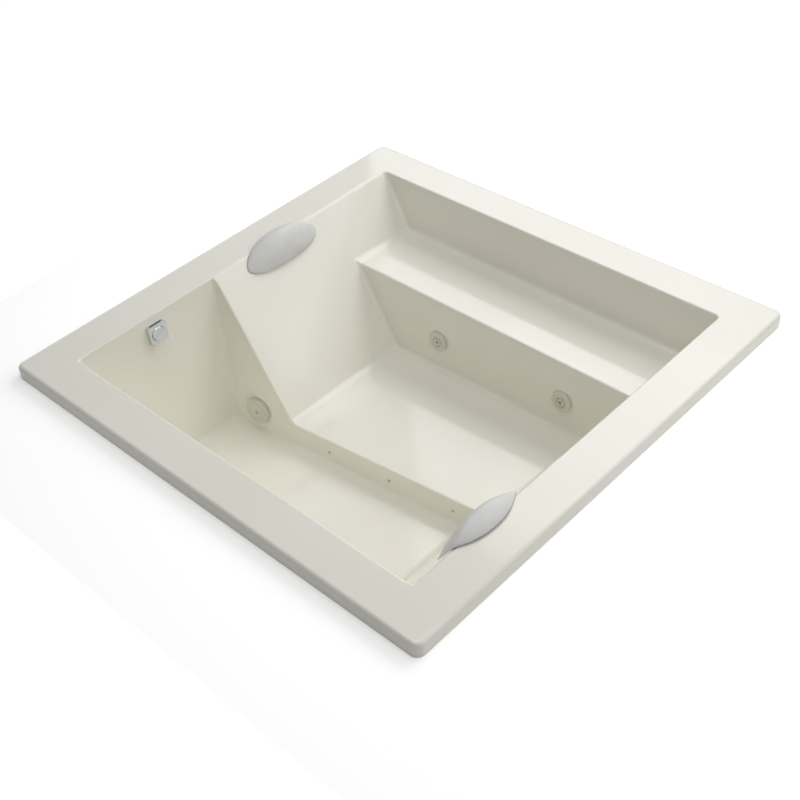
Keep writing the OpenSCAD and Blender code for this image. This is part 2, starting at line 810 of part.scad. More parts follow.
module waste_shoe() {
  top = drain_seat - (shell_t + gasket_t) * drain_up;
  reach = drain_x - overflow_x - tee_l / 2 + pipe_socket - run;
  depth = top[2] - waste_z + waste_d / 2;
  color(PIPE_WHITE)
    difference() {
      union() {
        stand(top, -drain_up)
          cylinder(depth, shoe_r, shoe_r);
        stand([drain_x, waste_y, waste_z], [-1, 0, 0])
          cylinder(reach, waste_d / 2, waste_d / 2);
      }
      stand(top + cut * drain_up, -drain_up)
        cylinder(flange_down - shell_t - gasket_t + 2 * cut, drain_barrel_r + fit, drain_barrel_r + fit);
      stand(top + cut * drain_up, -drain_up)
        cylinder(depth - pipe_t, drain_barrel_r - gasket_t, drain_barrel_r - gasket_t);
      stand([drain_x, waste_y, waste_z], [-1, 0, 0])
        cylinder(reach + cut, waste_bore_r, waste_bore_r);
    }
}

// Cable in its sleeve, from the back of the overflow to the side of the shoe
module stopper_cable() {
  top = [overflow_x, waste_y + elbow_r + cable_r, overflow_z - elbow_r / 2];
  low = [overflow_x, waste_y + waste_d, waste_z];
  end = [drain_x, waste_y + shoe_r + fit, waste_z];
  color(RUBBER)
    rod([top, [top[0], top[1], top[2] - elbow_r], low + [0, 0, 2 * pipe_socket], low,
         [end[0], low[1], waste_z], end], cable_r);
}

// Suction fitting

divider_out = -divider[0];
suction_seat = [suction_x, y_on(divider, suction_x, suction_z), suction_z];
suction_barrel_r = 27;
suction_body_l = 44;
suction_slots = 30;

module suction_cover() {
  face_r = suction_face_d / 2;
  base_r = suction_base_d / 2;
  skin = 2.5;
  lift = skin;
  color(ACRYLIC)
    stand(suction_seat, divider_out)
      translate([0, 0, lift + fit])
        difference() {
          union() {
            cylinder(suction_cover_h / 2, base_r, (base_r + face_r) / 2);
            translate([0, 0, suction_cover_h / 2])
              cylinder(suction_cover_h / 2 - lift, (base_r + face_r) / 2, face_r);
          }
          translate([0, 0, -cut])
            cylinder(suction_cover_h - lift - skin + cut, base_r - 3 * skin, face_r - 2 * skin);
          translate([0, 0, suction_cover_h - lift - skin / 3])
            tube(skin, face_r - 2 * skin, face_r - 3 * skin);
          translate([0, 0, -cut])
            cylinder(suction_cover_h + 2 * cut, screw_r + run, screw_r + run);
          for (k = [0 : suction_slots - 1])
            rotate([0, 0, 360 * k / suction_slots])
              translate([face_r - 4 * skin, -skin / 2, skin])
                cube([base_r, skin, suction_cover_h / 3]);
        }
}
screw_r = 3;
screw_head_r = 5.5;

module suction_screw() {
  color(STEEL)
    stand(suction_seat, divider_out) {
      translate([0, 0, suction_cover_h + fit + run])
        difference() {
          cylinder(screw_r / 1.5, screw_head_r, screw_head_r - screw_r / 3);
          translate([-screw_head_r, -screw_r / 6, screw_r / 3])
            cube([2 * screw_head_r, screw_r / 3, screw_r]);
        }
      translate([0, 0, -shell_t])
        cylinder(suction_cover_h + shell_t + fit + 2 * run, screw_r, screw_r);
    }
}

// Wall fitting: a flange in the basin, a barrel through the wall and a nut behind it
module suction_body() {
  flange = 2.5;
  r = suction_barrel_r;
  color(ACRYLIC)
    stand(suction_seat, divider_out)
      difference() {
        union() {
          translate([0, 0, skim])
            cylinder(flange - skim, suction_face_d / 2, suction_face_d / 2);
          translate([0, 0, -suction_body_l])
            cylinder(suction_body_l + flange / 2, r, r);
          translate([0, 0, -shell_t - gasket_t - 4 * flange])
            cylinder(4 * flange, suction_face_d / 2 - flange, suction_face_d / 2 - flange);
        }
        difference() {
          translate([0, 0, -suction_body_l - cut])
            cylinder(suction_body_l + flange + 2 * cut, pipe_d / 2 + run, pipe_d / 2 + run);
          translate([0, 0, -shell_t])
            cylinder(shell_t, screw_head_r, screw_head_r);
          for (a = [0, 1])
            rotate([0, 0, 90 * a + 45])
              translate([0, 0, -shell_t])
                slab(3 * r, 2 * flange, shell_t);
        }
        translate([0, 0, -shell_t - cut])
          cylinder(suction_body_l, screw_r + run, screw_r + run);
      }
}

module suction_gasket() {
  color(RUBBER)
    stand(suction_seat, divider_out)
      translate([0, 0, -shell_t - gasket_t])
        tube(gasket_t - skim, suction_face_d / 2 - gasket_t, suction_barrel_r + fit);
}

// Jets. Jets 1 and 2 are under the shelf, jets 3 and 4 in the front wall.

jet_height = z_on(lounge_floor, jet_x[0], shelf_y) + jet_rise;
function jet_place(k) = k < 2 ? jet_x[k] : front_jet_x[k - 2];
function jet_level(k) =
  k < 2 ? jet_height + (jet_place(k) - jet_x[0]) * tan(lounge_fall)
        : junction_z - jet_axis * front_wall[0][2];
function jet_side(k) = k < 2 ? jet_wall : front_wall;
function jet_seat(k) = [jet_place(k), y_on(jet_side(k), jet_place(k), jet_level(k)), jet_level(k)];
function jet_out(k) = -jet_side(k)[0];
// Direction of the water pipe through a jet
function jet_run(k) = k < 2 ? unit(jet_seat(1) - jet_seat(0)) : [1, 0, 0];

jet_flange_t = 3;
jet_bore_r = jet_barrel_d / 2 - 5.6;
jet_chamber_r = 30;
jet_axis = 44;
port_r = pipe_d / 2 + pipe_t;
port_l = 46;
knuckle_l = 44;
air_stub_r = air_d / 2 - 2;
air_stub_z = 27;

// Centre of the water way of a jet, behind the wall
function jet_way(k) = jet_seat(k) - jet_axis * jet_out(k);

module jet_fitting(k) {
  seat = jet_seat(k);
  back = shell_t + gasket_t;
  color(PIPE_WHITE)
    difference() {
      union() {
        stand(seat, jet_out(k)) {
          translate([0, 0, skim])
            cylinder(jet_flange_t - skim, jet_trim_d / 2 - jet_flange_t, jet_trim_d / 2 - jet_flange_t);
          translate([0, 0, -back - jet_flange_t])
            cylinder(back + 2 * jet_flange_t - fit, jet_barrel_d / 2, jet_barrel_d / 2);
          translate([0, 0, -back - jet_body_l])
            cylinder(jet_body_l, jet_chamber_r, jet_chamber_r);
        }
        stand(jet_way(k) - port_l * jet_run(k), jet_run(k))
          cylinder(2 * port_l, port_r, port_r);
        translate(seat - air_stub_z * jet_out(k))
          cylinder(jet_chamber_r + pipe_socket, air_stub_r, air_stub_r);
      }
      stand(seat, jet_out(k))
        translate([0, 0, -back - jet_body_l + pipe_t])
          cylinder(back + jet_body_l + jet_flange_t, jet_bore_r, jet_bore_r);
      stand(jet_way(k) - (port_l + cut) * jet_run(k), jet_run(k))
        cylinder(pipe_socket + cut, pipe_d / 2 + run, pipe_d / 2 + run);
      if (k % 2 == 0)
        stand(jet_way(k) + (port_l + cut) * jet_run(k), -jet_run(k))
          cylinder(pipe_socket + cut, pipe_d / 2 + run, pipe_d / 2 + run);
      if (k == 3)
        stand(jet_way(k) + (port_l + cut) * jet_run(k), -jet_run(k))
          cylinder(pipe_socket + cut, pipe_d / 2 + run, pipe_d / 2 + run);
      stand(jet_way(k) - (port_l + cut) * jet_run(k), jet_run(k))
        cylinder(port_l + (k == 1 || k == 2 ? 0 : port_l + 2 * cut), pipe_d / 2 - pipe_t, pipe_d / 2 - pipe_t);
      translate(seat - air_stub_z * jet_out(k))
        cylinder(jet_chamber_r + pipe_socket + cut, air_stub_r - gasket_t, air_stub_r - gasket_t);
    }
}

ball_r = jet_ball_d / 2;
ball_in = 3;
ball_hole_r = ball_r - 1.4;
skirt_l = 19;
jet_mouth_r = 17.6;
jet_recess = 4;

// Turning trim with the socket that holds the nozzle ball
module jet_trim(k) {
  r = jet_trim_d / 2;
  low = jet_flange_t + fit;
  edge = jet_trim_h / 3;
  color(ACRYLIC)
    stand(jet_seat(k), jet_out(k))
      difference() {
        rotate_extrude()
          polygon([
            [0, -skirt_l + low], [jet_bore_r - run, -skirt_l + low], [jet_bore_r - run, low], [r, low],
            [r, jet_trim_h - edge], [r - edge / 2, jet_trim_h - edge / 3], [r - 1.5 * edge, jet_trim_h],
            [jet_mouth_r + edge / 3, jet_trim_h], [jet_mouth_r, jet_trim_h - edge / 3],
            [jet_mouth_r - edge / 2, jet_trim_h - jet_recess], [0, jet_trim_h - jet_recess]
          ]);
        translate([0, 0, -ball_in])
          sphere(ball_r + run);
        translate([0, 0, -ball_in])
          cylinder(jet_trim_h + ball_in + cut, ball_hole_r, ball_hole_r);
        translate([0, 0, -skirt_l])
          cylinder(skirt_l, ball_hole_r - 2 * run, ball_hole_r - 2 * run);
      }
}

module jet_nozzle(k) {
  nose_r = ball_r * 0.72;
  color(PIPE_WHITE)
    stand(jet_seat(k), jet_out(k))
      translate([0, 0, -ball_in])
        difference() {
          union() {
            intersection() {
              sphere(ball_r);
              translate([-ball_r, -ball_r, -ball_r * 0.62])
                cube([2 * ball_r, 2 * ball_r, ball_r * 1.36]);
            }
            cylinder(ball_r, nose_r, nose_r - ball_r / 14);
          }
          translate([0, 0, -ball_r])
            cylinder(3 * ball_r, jet_bore_d / 2, jet_bore_d / 2);
          translate([0, 0, ball_r - ball_r / 7])
            cylinder(ball_r, jet_bore_d / 2, jet_bore_d);
        }
}

module jet_gaskets() {
  color(RUBBER)
    for (k = [0 : 3])
      stand(jet_seat(k), jet_out(k))
        translate([0, 0, -shell_t - gasket_t])
          tube(gasket_t - skim, jet_chamber_r, jet_barrel_d / 2 + fit);
}

// Small nozzles in the riser

nozzle_barrel_r = 4;
nozzle_flange_r = 6;
nozzle_flange_t = 1.5;
nozzle_back = 22;
nozzle_line_r = 9;
nozzle_level = z_on(lounge_floor, nozzle_x, y_on(divider, nozzle_x, rim_z - lounge_depth)) - nozzle_drop;
nozzle_climb = 0.0325;
function nozzle_z(k) = nozzle_level + nozzle_pitch * k * nozzle_climb;
function nozzle_seat(k) =
  [nozzle_x + nozzle_pitch * k, y_on(divider, nozzle_x + nozzle_pitch * k, nozzle_z(k)), nozzle_z(k)];
function nozzle_way(k) = nozzle_seat(k) - (nozzle_back + nozzle_line_r) * divider_out;
nozzle_run = unit(nozzle_way(2) - nozzle_way(0));
nozzle_start = nozzle_way(0) - nozzle_back * nozzle_run;

module riser_nozzles() {
  color(ACRYLIC)
    for (k = [0 : 2])
      stand(nozzle_seat(k), divider_out)
        difference() {
          union() {
            translate([0, 0, skim])
              cylinder(nozzle_flange_t - skim, nozzle_flange_r, nozzle_flange_r - nozzle_flange_t / 2);
            translate([0, 0, -nozzle_back])
              cylinder(nozzle_back + nozzle_flange_t / 2, nozzle_barrel_r, nozzle_barrel_r);
          }
          translate([0, 0, -nozzle_back - cut])
            cylinder(nozzle_back + 2 * cut, nozzle_bore_d / 3, nozzle_bore_d / 3);
          translate([0, 0, -nozzle_bore_d / 2])
            cylinder(nozzle_back, nozzle_bore_d / 2, nozzle_bore_d / 2);
        }
}

// Line behind the riser that feeds the small nozzles from the pump
module nozzle_line() {
  end = nozzle_way(2) + nozzle_back * nozzle_run;
  turn = [joist_x[0] - 2 * nozzle_line_r, nozzle_start[1], nozzle_start[2]];
  feed = [turn[0], pump_y + volute_l / 2, turn[2]];
  port = [pump_x + volute_d / 2 + nozzle_flange_t, feed[1], feed[2]];
  color(PIPE_WHITE)
    difference() {
      union() {
        rod([port, feed, turn, nozzle_start, end], nozzle_line_r);
        for (k = [0 : 2])
          stand(nozzle_way(k), divider_out)
            cylinder(nozzle_line_r + nozzle_back / 2, nozzle_flange_r, nozzle_flange_r);
      }
      rod([port - [cut, 0, 0], feed, turn, nozzle_start, end - gasket_t * nozzle_run], nozzle_line_r - gasket_t);
      for (k = [0 : 2])
        stand(nozzle_way(k), divider_out)
          cylinder(2 * nozzle_back, nozzle_barrel_r + run, nozzle_barrel_r + run);
    }
}

// Pump, on the line of the suction fitting

suction_end = suction_seat - (suction_body_l - pipe_socket) * divider_out;
suction_bend = suction_seat - (suction_body_l + port_r + fit) * divider_out;
pump_x = suction_bend[0];
pump_z = suction_bend[2];
pump_gap = 34;
inlet_l = 34;
pump_y = suction_bend[1] + port_r + pump_gap;
suction_port = [pump_x, pump_y - inlet_l + pipe_socket - run, pump_z];
volute_wall = 5;
port_x = pump_x - volute_d / 2 + pipe_d / 2 + volute_wall;
port_y = pump_y + volute_l / 2;
tee_down_l = 32;
bolt_ring = 5;
bolt_r = 3;
bolt_head_r = 4.7;
bolt_head_h = 4;
casing_flange_t = 8;
casing_flange_r = volute_d / 2 + 2 * bolt_ring;
casing_bolts = 6;
junction_z = jet_way(0)[2] - (jet_way(0)[0] - port_x) * jet_run(0)[2] / jet_run(0)[0];
plate_t = 9;
motor_y = pump_y + volute_l + plate_t;
fan_gap = 4;
fan_l = 16;
shaft_l = volute_l + plate_t + motor_l + fan_gap + fan_l;

// Children stand on the pump's axis, with +Z along +Y, from the face of the casing
module on_pump() {
  translate([pump_x, pump_y, pump_z])
    rotate([-90, 0, 0])
      children();
}

module suction_pipe() {
  color(PIPE_WHITE)
    difference() {
      union() {
        rod([suction_end, suction_bend, suction_port], pipe_d / 2);
        translate(suction_bend)
          sphere(port_r);
      }
      rod(drawn([suction_end, suction_bend, suction_port], cut), pipe_d / 2 - pipe_t);
    }
}

module bolt_circle() {
  for (k = [0 : casing_bolts - 1])
    rotate([0, 0, 360 * (k + 0.5) / casing_bolts])
      translate([volute_d / 2 + bolt_ring, 0, 0])
        children();
}

module pump_volute() {
  r = volute_d / 2;
  spigot_r = nozzle_line_r - gasket_t - run;
  color(MOTOR_GREY)
    difference() {
      union() {
        on_pump() {
          cylinder(volute_l, r, r);
          translate([0, 0, volute_l - casing_flange_t])
            cylinder(casing_flange_t, casing_flange_r, casing_flange_r);
          translate([0, 0, -inlet_l])
            cylinder(inlet_l + cut, port_r, port_r);
        }
        translate([port_x, port_y, pump_z])
          cylinder(junction_z - tee_down_l + pipe_socket - run - pump_z, pipe_d / 2, pipe_d / 2);
        stand([pump_x, port_y, nozzle_start[2]], [1, 0, 0])
          cylinder(r + pipe_socket, spigot_r, spigot_r);
      }
      on_pump() {
        translate([0, 0, volute_wall])
          cylinder(volute_l, r - volute_wall, r - volute_wall);
        translate([0, 0, -inlet_l - cut])
          cylinder(inlet_l + volute_l, pipe_d / 2 - pipe_t, pipe_d / 2 - pipe_t);
        translate([0, 0, -inlet_l - cut])
          cylinder(pipe_socket + cut, pipe_d / 2 + run, pipe_d / 2 + run);
        translate([0, 0, volute_l - casing_flange_t - cut])
          bolt_circle()
            cylinder(casing_flange_t + 2 * cut, bolt_r + fit, bolt_r + fit);
      }
      translate([port_x, port_y, pump_z])
        cylinder(volute_d, pipe_d / 2 - pipe_t, pipe_d / 2 - pipe_t);
      stand([pump_x, port_y, nozzle_start[2]], [1, 0, 0])
        cylinder(volute_d, spigot_r - gasket_t, spigot_r - gasket_t);
    }
}

module pump_seal_plate() {
  color(MOTOR_GREY)
    on_pump()
      translate([0, 0, volute_l])
        difference() {
          tube(plate_t, casing_flange_r, shaft_d / 2 + run);
          translate([0, 0, -cut])
            bolt_circle()
              cylinder(plate_t + 2 * cut, bolt_r + fit, bolt_r + fit);
        }
}

impeller_z = volute_wall + 14;
module pump_impeller() {
  blades = 6;
  hub = shaft_d / 2 + 5;
  disc = 4;
  blade_l = impeller_d / 2 - hub;
  blade_h = volute_l / 3;
  color(STEEL)
    on_pump() {
      translate([0, 0, impeller_z + blade_h])
        cylinder(disc, impeller_d / 2, impeller_d / 2);
      translate([0, 0, impeller_z])
        cylinder(blade_h + disc, hub, hub);
      for (k = [0 : blades - 1])
        rotate([0, 0, 360 * k / blades])
          translate([0, -disc / 2, impeller_z])
            cube([hub + blade_l - disc, disc, blade_h + disc / 2]);
      translate([0, 0, impeller_z])
        cylinder(shaft_l - impeller_z, shaft_d / 2, shaft_d / 2);
    }
}

module pump_motor() {
  fins = 20;
  fin = 4;
  wall = 6;
  r = motor_d / 2 - fin;
  color(MOTOR_GREY)
    translate([0, volute_l + plate_t, 0])
      on_pump()
        difference() {
          union() {
            cylinder(motor_l, r, r);
            for (k = [0 : fins - 1])
              rotate([0, 0, 360 * k / fins])
                translate([0, -fin / 4, 3 * wall])
                  cube([r + fin, fin / 2, motor_l - 6 * wall]);
            cylinder(2 * wall, r + fin, r + fin);
            translate([0, 0, motor_l - 2 * wall])
              cylinder(2 * wall, r + fin, r + fin);
          }
          translate([0, 0, wall])
            cylinder(motor_l - 2 * wall, r - wall, r - wall);
          translate([0, 0, -cut])
            cylinder(motor_l + 2 * cut, shaft_d / 2 + run, shaft_d / 2 + run);
        }
}

cover_l = 34;
module pump_fan() {
  blades = 8;
  blade = 3;
  r = motor_d / 2 - 4 * blade;
  color(RUBBER)
    translate([0, volute_l + plate_t + motor_l + fan_gap, 0])
      on_pump() {
        difference() {
          union() {
            cylinder(fan_l, shaft_d, shaft_d);
            for (k = [0 : blades - 1])
              rotate([0, 0, 360 * k / blades])
                translate([shaft_d - blade / 2, -blade / 2, blade / 2])
                  cube([r - shaft_d, blade, fan_l - blade]);
          }
          translate([0, 0, -cut])
            cylinder(fan_l + 2 * cut, shaft_d / 2 + run, shaft_d / 2 + run);
        }
      }
}

module pump_fan_cover() {
  wall = 2.5;
  slots = 12;
  r = motor_d / 2;
  color(MOTOR_GREY)
    translate([0, volute_l + plate_t + motor_l, 0])
      on_pump()
        difference() {
          cylinder(cover_l, r, r - 2 * wall);
          translate([0, 0, -cut])
            cylinder(cover_l - wall + cut, r - wall, r - 3 * wall);
          for (k = [0 : slots - 1])
            rotate([0, 0, 360 * k / slots])
              translate([r / 3, -wall, cover_l - 2 * wall])
                cube([r / 3, 2 * wall, 3 * wall]);
        }
}

// Bracket between the motor and the base board
module pump_foot() {
  w = motor_d * 0.8;
  l = motor_l / 2;
  color(STEEL)
    difference() {
      translate([pump_x - w / 2, motor_y + l / 2, board_z])
        cube([w, l, pump_z - board_z - motor_d / 4]);
      translate([0, volute_l + plate_t, 0])
        on_pump()
          cylinder(motor_l, motor_d / 2 + fit, motor_d / 2 + fit);
      translate([pump_x - w / 2 + volute_wall, motor_y + l / 2 - cut, board_z + volute_wall])
        cube([w - 2 * volute_wall, l + 2 * cut, pump_z - motor_d / 2 - board_z - 2 * volute_wall]);
    }
}

// Bolts and nuts that hold the casing to the seal plate
module pump_bolts() {
  grip = casing_flange_t + plate_t;
  color(STEEL)
    on_pump()
      translate([0, 0, volute_l - casing_flange_t])
        bolt_circle() {
          translate([0, 0, -bolt_head_h])
            cylinder(bolt_head_h, bolt_head_r, bolt_head_r, $fn = 6);
          translate([0, 0, -bolt_head_h])
            cylinder(grip + 2 * bolt_head_h, bolt_r, bolt_r);
          translate([0, 0, grip])
            cylinder(bolt_head_h, bolt_head_r, bolt_head_r, $fn = 6);
        }
}

// Box for the supply, with an empty gland
box_h = 20;
gland_r = 8;
gland_bore_r = 5;
module terminal_box() {
  l = motor_l / 2.5;
  w = motor_d / 2;
  z = pump_z + motor_d / 2 + fit;
  wall = 3;
  color(MOTOR_GREY)
    difference() {
      union() {
        translate([pump_x - w / 2, motor_y + motor_l / 4, z])
          cube([w, l, box_h]);
        stand([pump_x - w / 2, motor_y + motor_l / 4 + l / 2, z + box_h / 2], [-1, 0, 0])
          cylinder(2 * gland_r, gland_r, gland_r);
      }
      translate([pump_x - w / 2 + wall, motor_y + motor_l / 4 + wall, z + wall])
        cube([w - 2 * wall, l - 2 * wall, box_h - 2 * wall]);
      stand([pump_x, motor_y + motor_l / 4 + l / 2, z + box_h / 2], [-1, 0, 0])
        cylinder(w, gland_bore_r, gland_bore_r);
    }
}

// Water pipes

junction = [port_x, port_y, junction_z];
back_run = jet_way(0) - (jet_way(0)[0] - port_x) / jet_run(0)[0] * jet_run(0);
front_lane = -open_l / 2 - 73;
front_turn = [front_lane, jet_way(3)[1], junction_z];
tee_bore_l = port_l - pipe_socket + run;

// Tee over the pump: from below, towards the back jets and towards the front jets
module water_tee() {
  ways = [[[0, 0, -1], tee_down_l], [[0, 1, 0], port_l], [[-1, 0, 0], port_l]];
  color(PIPE_WHITE)
    difference() {
      union() {
        translate(junction)
          sphere(port_r + fit);
        for (w = ways)
          stand(junction, w[0])
            cylinder(w[1], port_r, port_r);
      }
      translate(junction)
        sphere(pipe_d / 2 - pipe_t + fit);
      for (w = ways) {
        stand(junction, w[0])
          cylinder(w[1] + cut, pipe_d / 2 - pipe_t, pipe_d / 2 - pipe_t);
        stand(junction + (w[1] - pipe_socket) * w[0], w[0])
          cylinder(pipe_socket + cut, pipe_d / 2 + run, pipe_d / 2 + run);
      }
    }
}

module water_pipe_back() {
  color(PIPE_WHITE)
    water_pipe([junction + [0, tee_bore_l, 0], [port_x, back_run[1], junction_z],
                jet_way(0) - tee_bore_l * jet_run(0)]);
}

module water_pipe_front() {
  color(PIPE_WHITE)
    water_pipe([junction - [tee_bore_l, 0, 0], [front_lane, port_y, junction_z], front_turn,
                jet_way(3) - tee_bore_l * jet_run(3)]);
}

// The straight pipes between each pair of jets
module water_pipe_links() {
  color(PIPE_WHITE)
    for (pair = [[0, 1], [3, 2]])
      water_pipe([jet_way(pair[0]) + tee_bore_l * jet_run(pair[0]),
                  jet_way(pair[1]) - tee_bore_l * jet_run(pair[1])]);
}

// Air lines. Each has a leg from either jet to a tee, and a riser from the tee to an inlet
// under the rim. The pieces are socketed into each other.

inlet_r = 20;
inlet_h = 36;
air_up = jet_chamber_r + pipe_socket;
air_wall = 2;
air_tee_l = 24;
air_socket = 14;
function air_stub(k) = jet_seat(k) - air_stub_z * jet_out(k) + [0, 0, jet_chamber_r + air_wall];

module air_pipe(points) {
  difference() {
    rod(points, air_d / 2, air_wall);
    rod(drawn(points, cut), air_stub_r + run, 2 * fit);
  }
}

module air_line(a, b, x, y) {
  height = max(air_stub(a)[2], air_stub(b)[2]) + air_up;
  mid = [x, air_stub(a)[1], height];
  side = [0, sign(y), 0];
  top = [x, y, batten_z - inlet_h];
  reach = air_tee_l - air_socket + run;
  color(PIPE_WHITE) {
    for (k = [a, b])
      air_pipe([air_stub(k), [air_stub(k)[0], air_stub(k)[1], height],
                mid + [sign(air_stub(k)[0] - x) * reach, 0, 0]]);
    translate([0, mid[1], 0])
      mirror([0, y > 0 ? 1 : 0, 0])
        air_pipe([[x, -reach, height], [x, -abs(y - mid[1]), height],
                  [x, -abs(y - mid[1]), top[2] + air_socket - run]]);
    difference() {
      union() {
        stand(mid - [air_tee_l, 0, 0], [1, 0, 0])
          cylinder(2 * air_tee_l, air_d / 2 + air_wall, air_d / 2 + air_wall);
        stand(mid, side)
          cylinder(air_tee_l, air_d / 2 + air_wall, air_d / 2 + air_wall);
      }
      for (d = [[1, 0, 0], [-1, 0, 0], side])
        stand(mid + (air_tee_l - air_socket) * d, d)
          cylinder(air_socket + cut, air_d / 2 + run, air_d / 2 + run);
      stand(mid - [air_tee_l, 0, 0], [1, 0, 0])
        cylinder(2 * air_tee_l, air_stub_r + run, air_stub_r + run);
      stand(mid, side)
        cylinder(air_tee_l, air_stub_r - run, air_stub_r - run);
    }
    translate(top)
      difference() {
        cylinder(inlet_h, inlet_r, inlet_r);
        translate([0, 0, -cut])
          cylinder(air_socket + cut, air_d / 2 + run, air_d / 2 + run);
        translate([0, 0, air_socket - air_wall])
          cylinder(inlet_h - air_socket, inlet_r - air_wall, inlet_r - air_wall);
        for (turn = [0, 90])
          rotate([0, 0, turn])
            translate([0, 0, inlet_h / 2])
              slab(2 * inlet_r + 2 * cut, air_d / 2, inlet_h / 4);
      }
  }
}

tub_shell();
end_batten(-1);  // rim_batten_drain_end
end_batten(1);  // rim_batten_foot_end
side_batten(-1);  // rim_batten_front
side_batten(1);  // rim_batten_back
base_board();
base_runners();
channel_bed();
lounge_joists();
color(PILLOW_GREY) pillow_place() pillow();  // pillow_head
color(PILLOW_GREY) turned() pillow_place() pillow();  // pillow_foot
pillow_cups();
overflow_housing();
overflow_knob();
overflow_gasket();
overflow_elbow();
overflow_pipe();
waste_tee();
waste_shoe();
drain_gasket();
drain_flange();
drain_stopper();
stopper_cable();
suction_cover();
suction_screw();
suction_body();
suction_gasket();
suction_pipe();
jet_fitting(0);  // jet_fitting_1
jet_fitting(1);  // jet_fitting_2
jet_fitting(2);  // jet_fitting_3
jet_fitting(3);  // jet_fitting_4
jet_trim(0);  // jet_trim_1
jet_trim(1);  // jet_trim_2
jet_trim(2);  // jet_trim_3
jet_trim(3);  // jet_trim_4
jet_nozzle(0);  // jet_nozzle_1
jet_nozzle(1);  // jet_nozzle_2
jet_nozzle(2);  // jet_nozzle_3
jet_nozzle(3);  // jet_nozzle_4
jet_gaskets();
riser_nozzles();
nozzle_line();
water_tee();
water_pipe_back();
water_pipe_front();
water_pipe_links();
air_line(0, 1, open_l / 20, back_y + 2 * inlet_r);  // air_line_back
air_line(3, 2, -open_l / 20, -back_y - 2 * inlet_r);  // air_line_front
pump_volute();
pump_impeller();
pump_seal_plate();
pump_motor();
pump_fan();
pump_fan_cover();
pump_foot();
pump_bolts();
terminal_box();
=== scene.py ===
"""Looks of a drop-in jetted bath for two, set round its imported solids.

Lengths in the classes are millimetres, as on a maker's drawing. Blender's own are metres, so
each mesh is scaled by MM when it is made.
"""

import json
import logging
import math
from collections.abc import Callable, Iterable, Sequence
from dataclasses import dataclass, field
from enum import Enum
from typing import Any

import bmesh
import bpy
import numpy as np
from mathutils import Matrix, Vector

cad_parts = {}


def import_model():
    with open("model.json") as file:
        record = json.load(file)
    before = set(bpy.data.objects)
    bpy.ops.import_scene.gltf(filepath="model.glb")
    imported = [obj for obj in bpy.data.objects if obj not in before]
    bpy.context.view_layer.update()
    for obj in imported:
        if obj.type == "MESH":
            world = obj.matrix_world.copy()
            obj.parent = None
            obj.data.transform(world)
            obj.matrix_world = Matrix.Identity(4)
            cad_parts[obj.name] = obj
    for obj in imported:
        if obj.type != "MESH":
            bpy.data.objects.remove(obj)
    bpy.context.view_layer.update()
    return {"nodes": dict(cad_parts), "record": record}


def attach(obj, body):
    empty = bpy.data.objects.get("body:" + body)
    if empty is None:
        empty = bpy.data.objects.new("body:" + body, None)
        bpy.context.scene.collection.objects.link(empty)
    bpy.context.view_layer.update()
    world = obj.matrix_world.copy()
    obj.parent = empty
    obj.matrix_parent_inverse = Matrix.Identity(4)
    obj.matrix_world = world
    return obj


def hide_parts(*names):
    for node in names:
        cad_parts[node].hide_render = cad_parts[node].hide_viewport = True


MM = 0.001
# Length under which two points count as one
TINY = 1e-9
# Reach along a fitting's axis within which a hole is cut, so that only its own wall is drilled
NEAR = 60
# Turn in degrees up to which neighbouring faces of a net are joined into one
FLAT_TURN = 0.05
# Shape of a face, as twice its area over its edges' length and the net's pitch, from which it is
# one of the large flat ones
FLAT_SHARE = 1.6
ROOT_BODY = "bath"
log = logging.getLogger("bath")


# Node helpers


def linear(hex_colour: str) -> tuple[float, float, float, float]:
    """Turns an sRGB hex colour to linear light.

    Args:
        hex_colour: six hex digits after a hash.

    Returns:
        Linear red, green and blue, and an alpha of 1.
    """
    levels = [int(hex_colour[i : i + 2], 16) / 255 for i in (1, 3, 5)]
    return (*(c / 12.92 if c <= 0.04045 else ((c + 0.055) / 1.055) ** 2.4 for c in levels), 1.0)


def per_metre(size_mm: float) -> float:
    """Texture scale at which one cell of a pattern is size_mm wide."""
    return 1.0 / (size_mm * MM)


def add_node(
    tree: bpy.types.NodeTree,
    kind: str,
    settings: dict[str | int, Any] | None = None,
    links: dict[str | int, bpy.types.NodeSocket] | None = None,
) -> bpy.types.Node:
    """Adds one node with its settings and links.

    Args:
        tree: the tree that takes the node.
        kind: Blender's name for the node type.
        settings: values by name; a lower-case name is a property, any other an input socket.
        links: output sockets by the input socket that each goes into.

    Returns:
        The node.
    """
    node = tree.nodes.new(kind)
    for name, value in (settings or {}).items():
        if isinstance(name, str) and name[0].islower():
            setattr(node, name, value)
        else:
            node.inputs[name].default_value = value
    for name, socket in (links or {}).items():
        tree.links.new(socket, node.inputs[name])
    return node


def mixed(
    tree: bpy.types.NodeTree,
    share: bpy.types.NodeSocket,
    one: bpy.types.NodeSocket,
    other: bpy.types.NodeSocket,
) -> bpy.types.NodeSocket:
    """Mixes two shaders.

    Args:
        tree: the tree that takes the mix.
        share: how much of the other shows, from 0 to 1.
        one: the shader at 0.
        other: the shader at 1.

    Returns:
        The mix.
    """
    mix = add_node(tree, "ShaderNodeMixShader", links={0: share, 1: one, 2: other})
    return mix.outputs["Shader"]


# Finishes


class Grain(Enum):
    """Way that the fibres of a timber run."""

    ALONG_X = (0.07, 1.0, 1.0)
    ALONG_Y = (1.0, 0.07, 1.0)


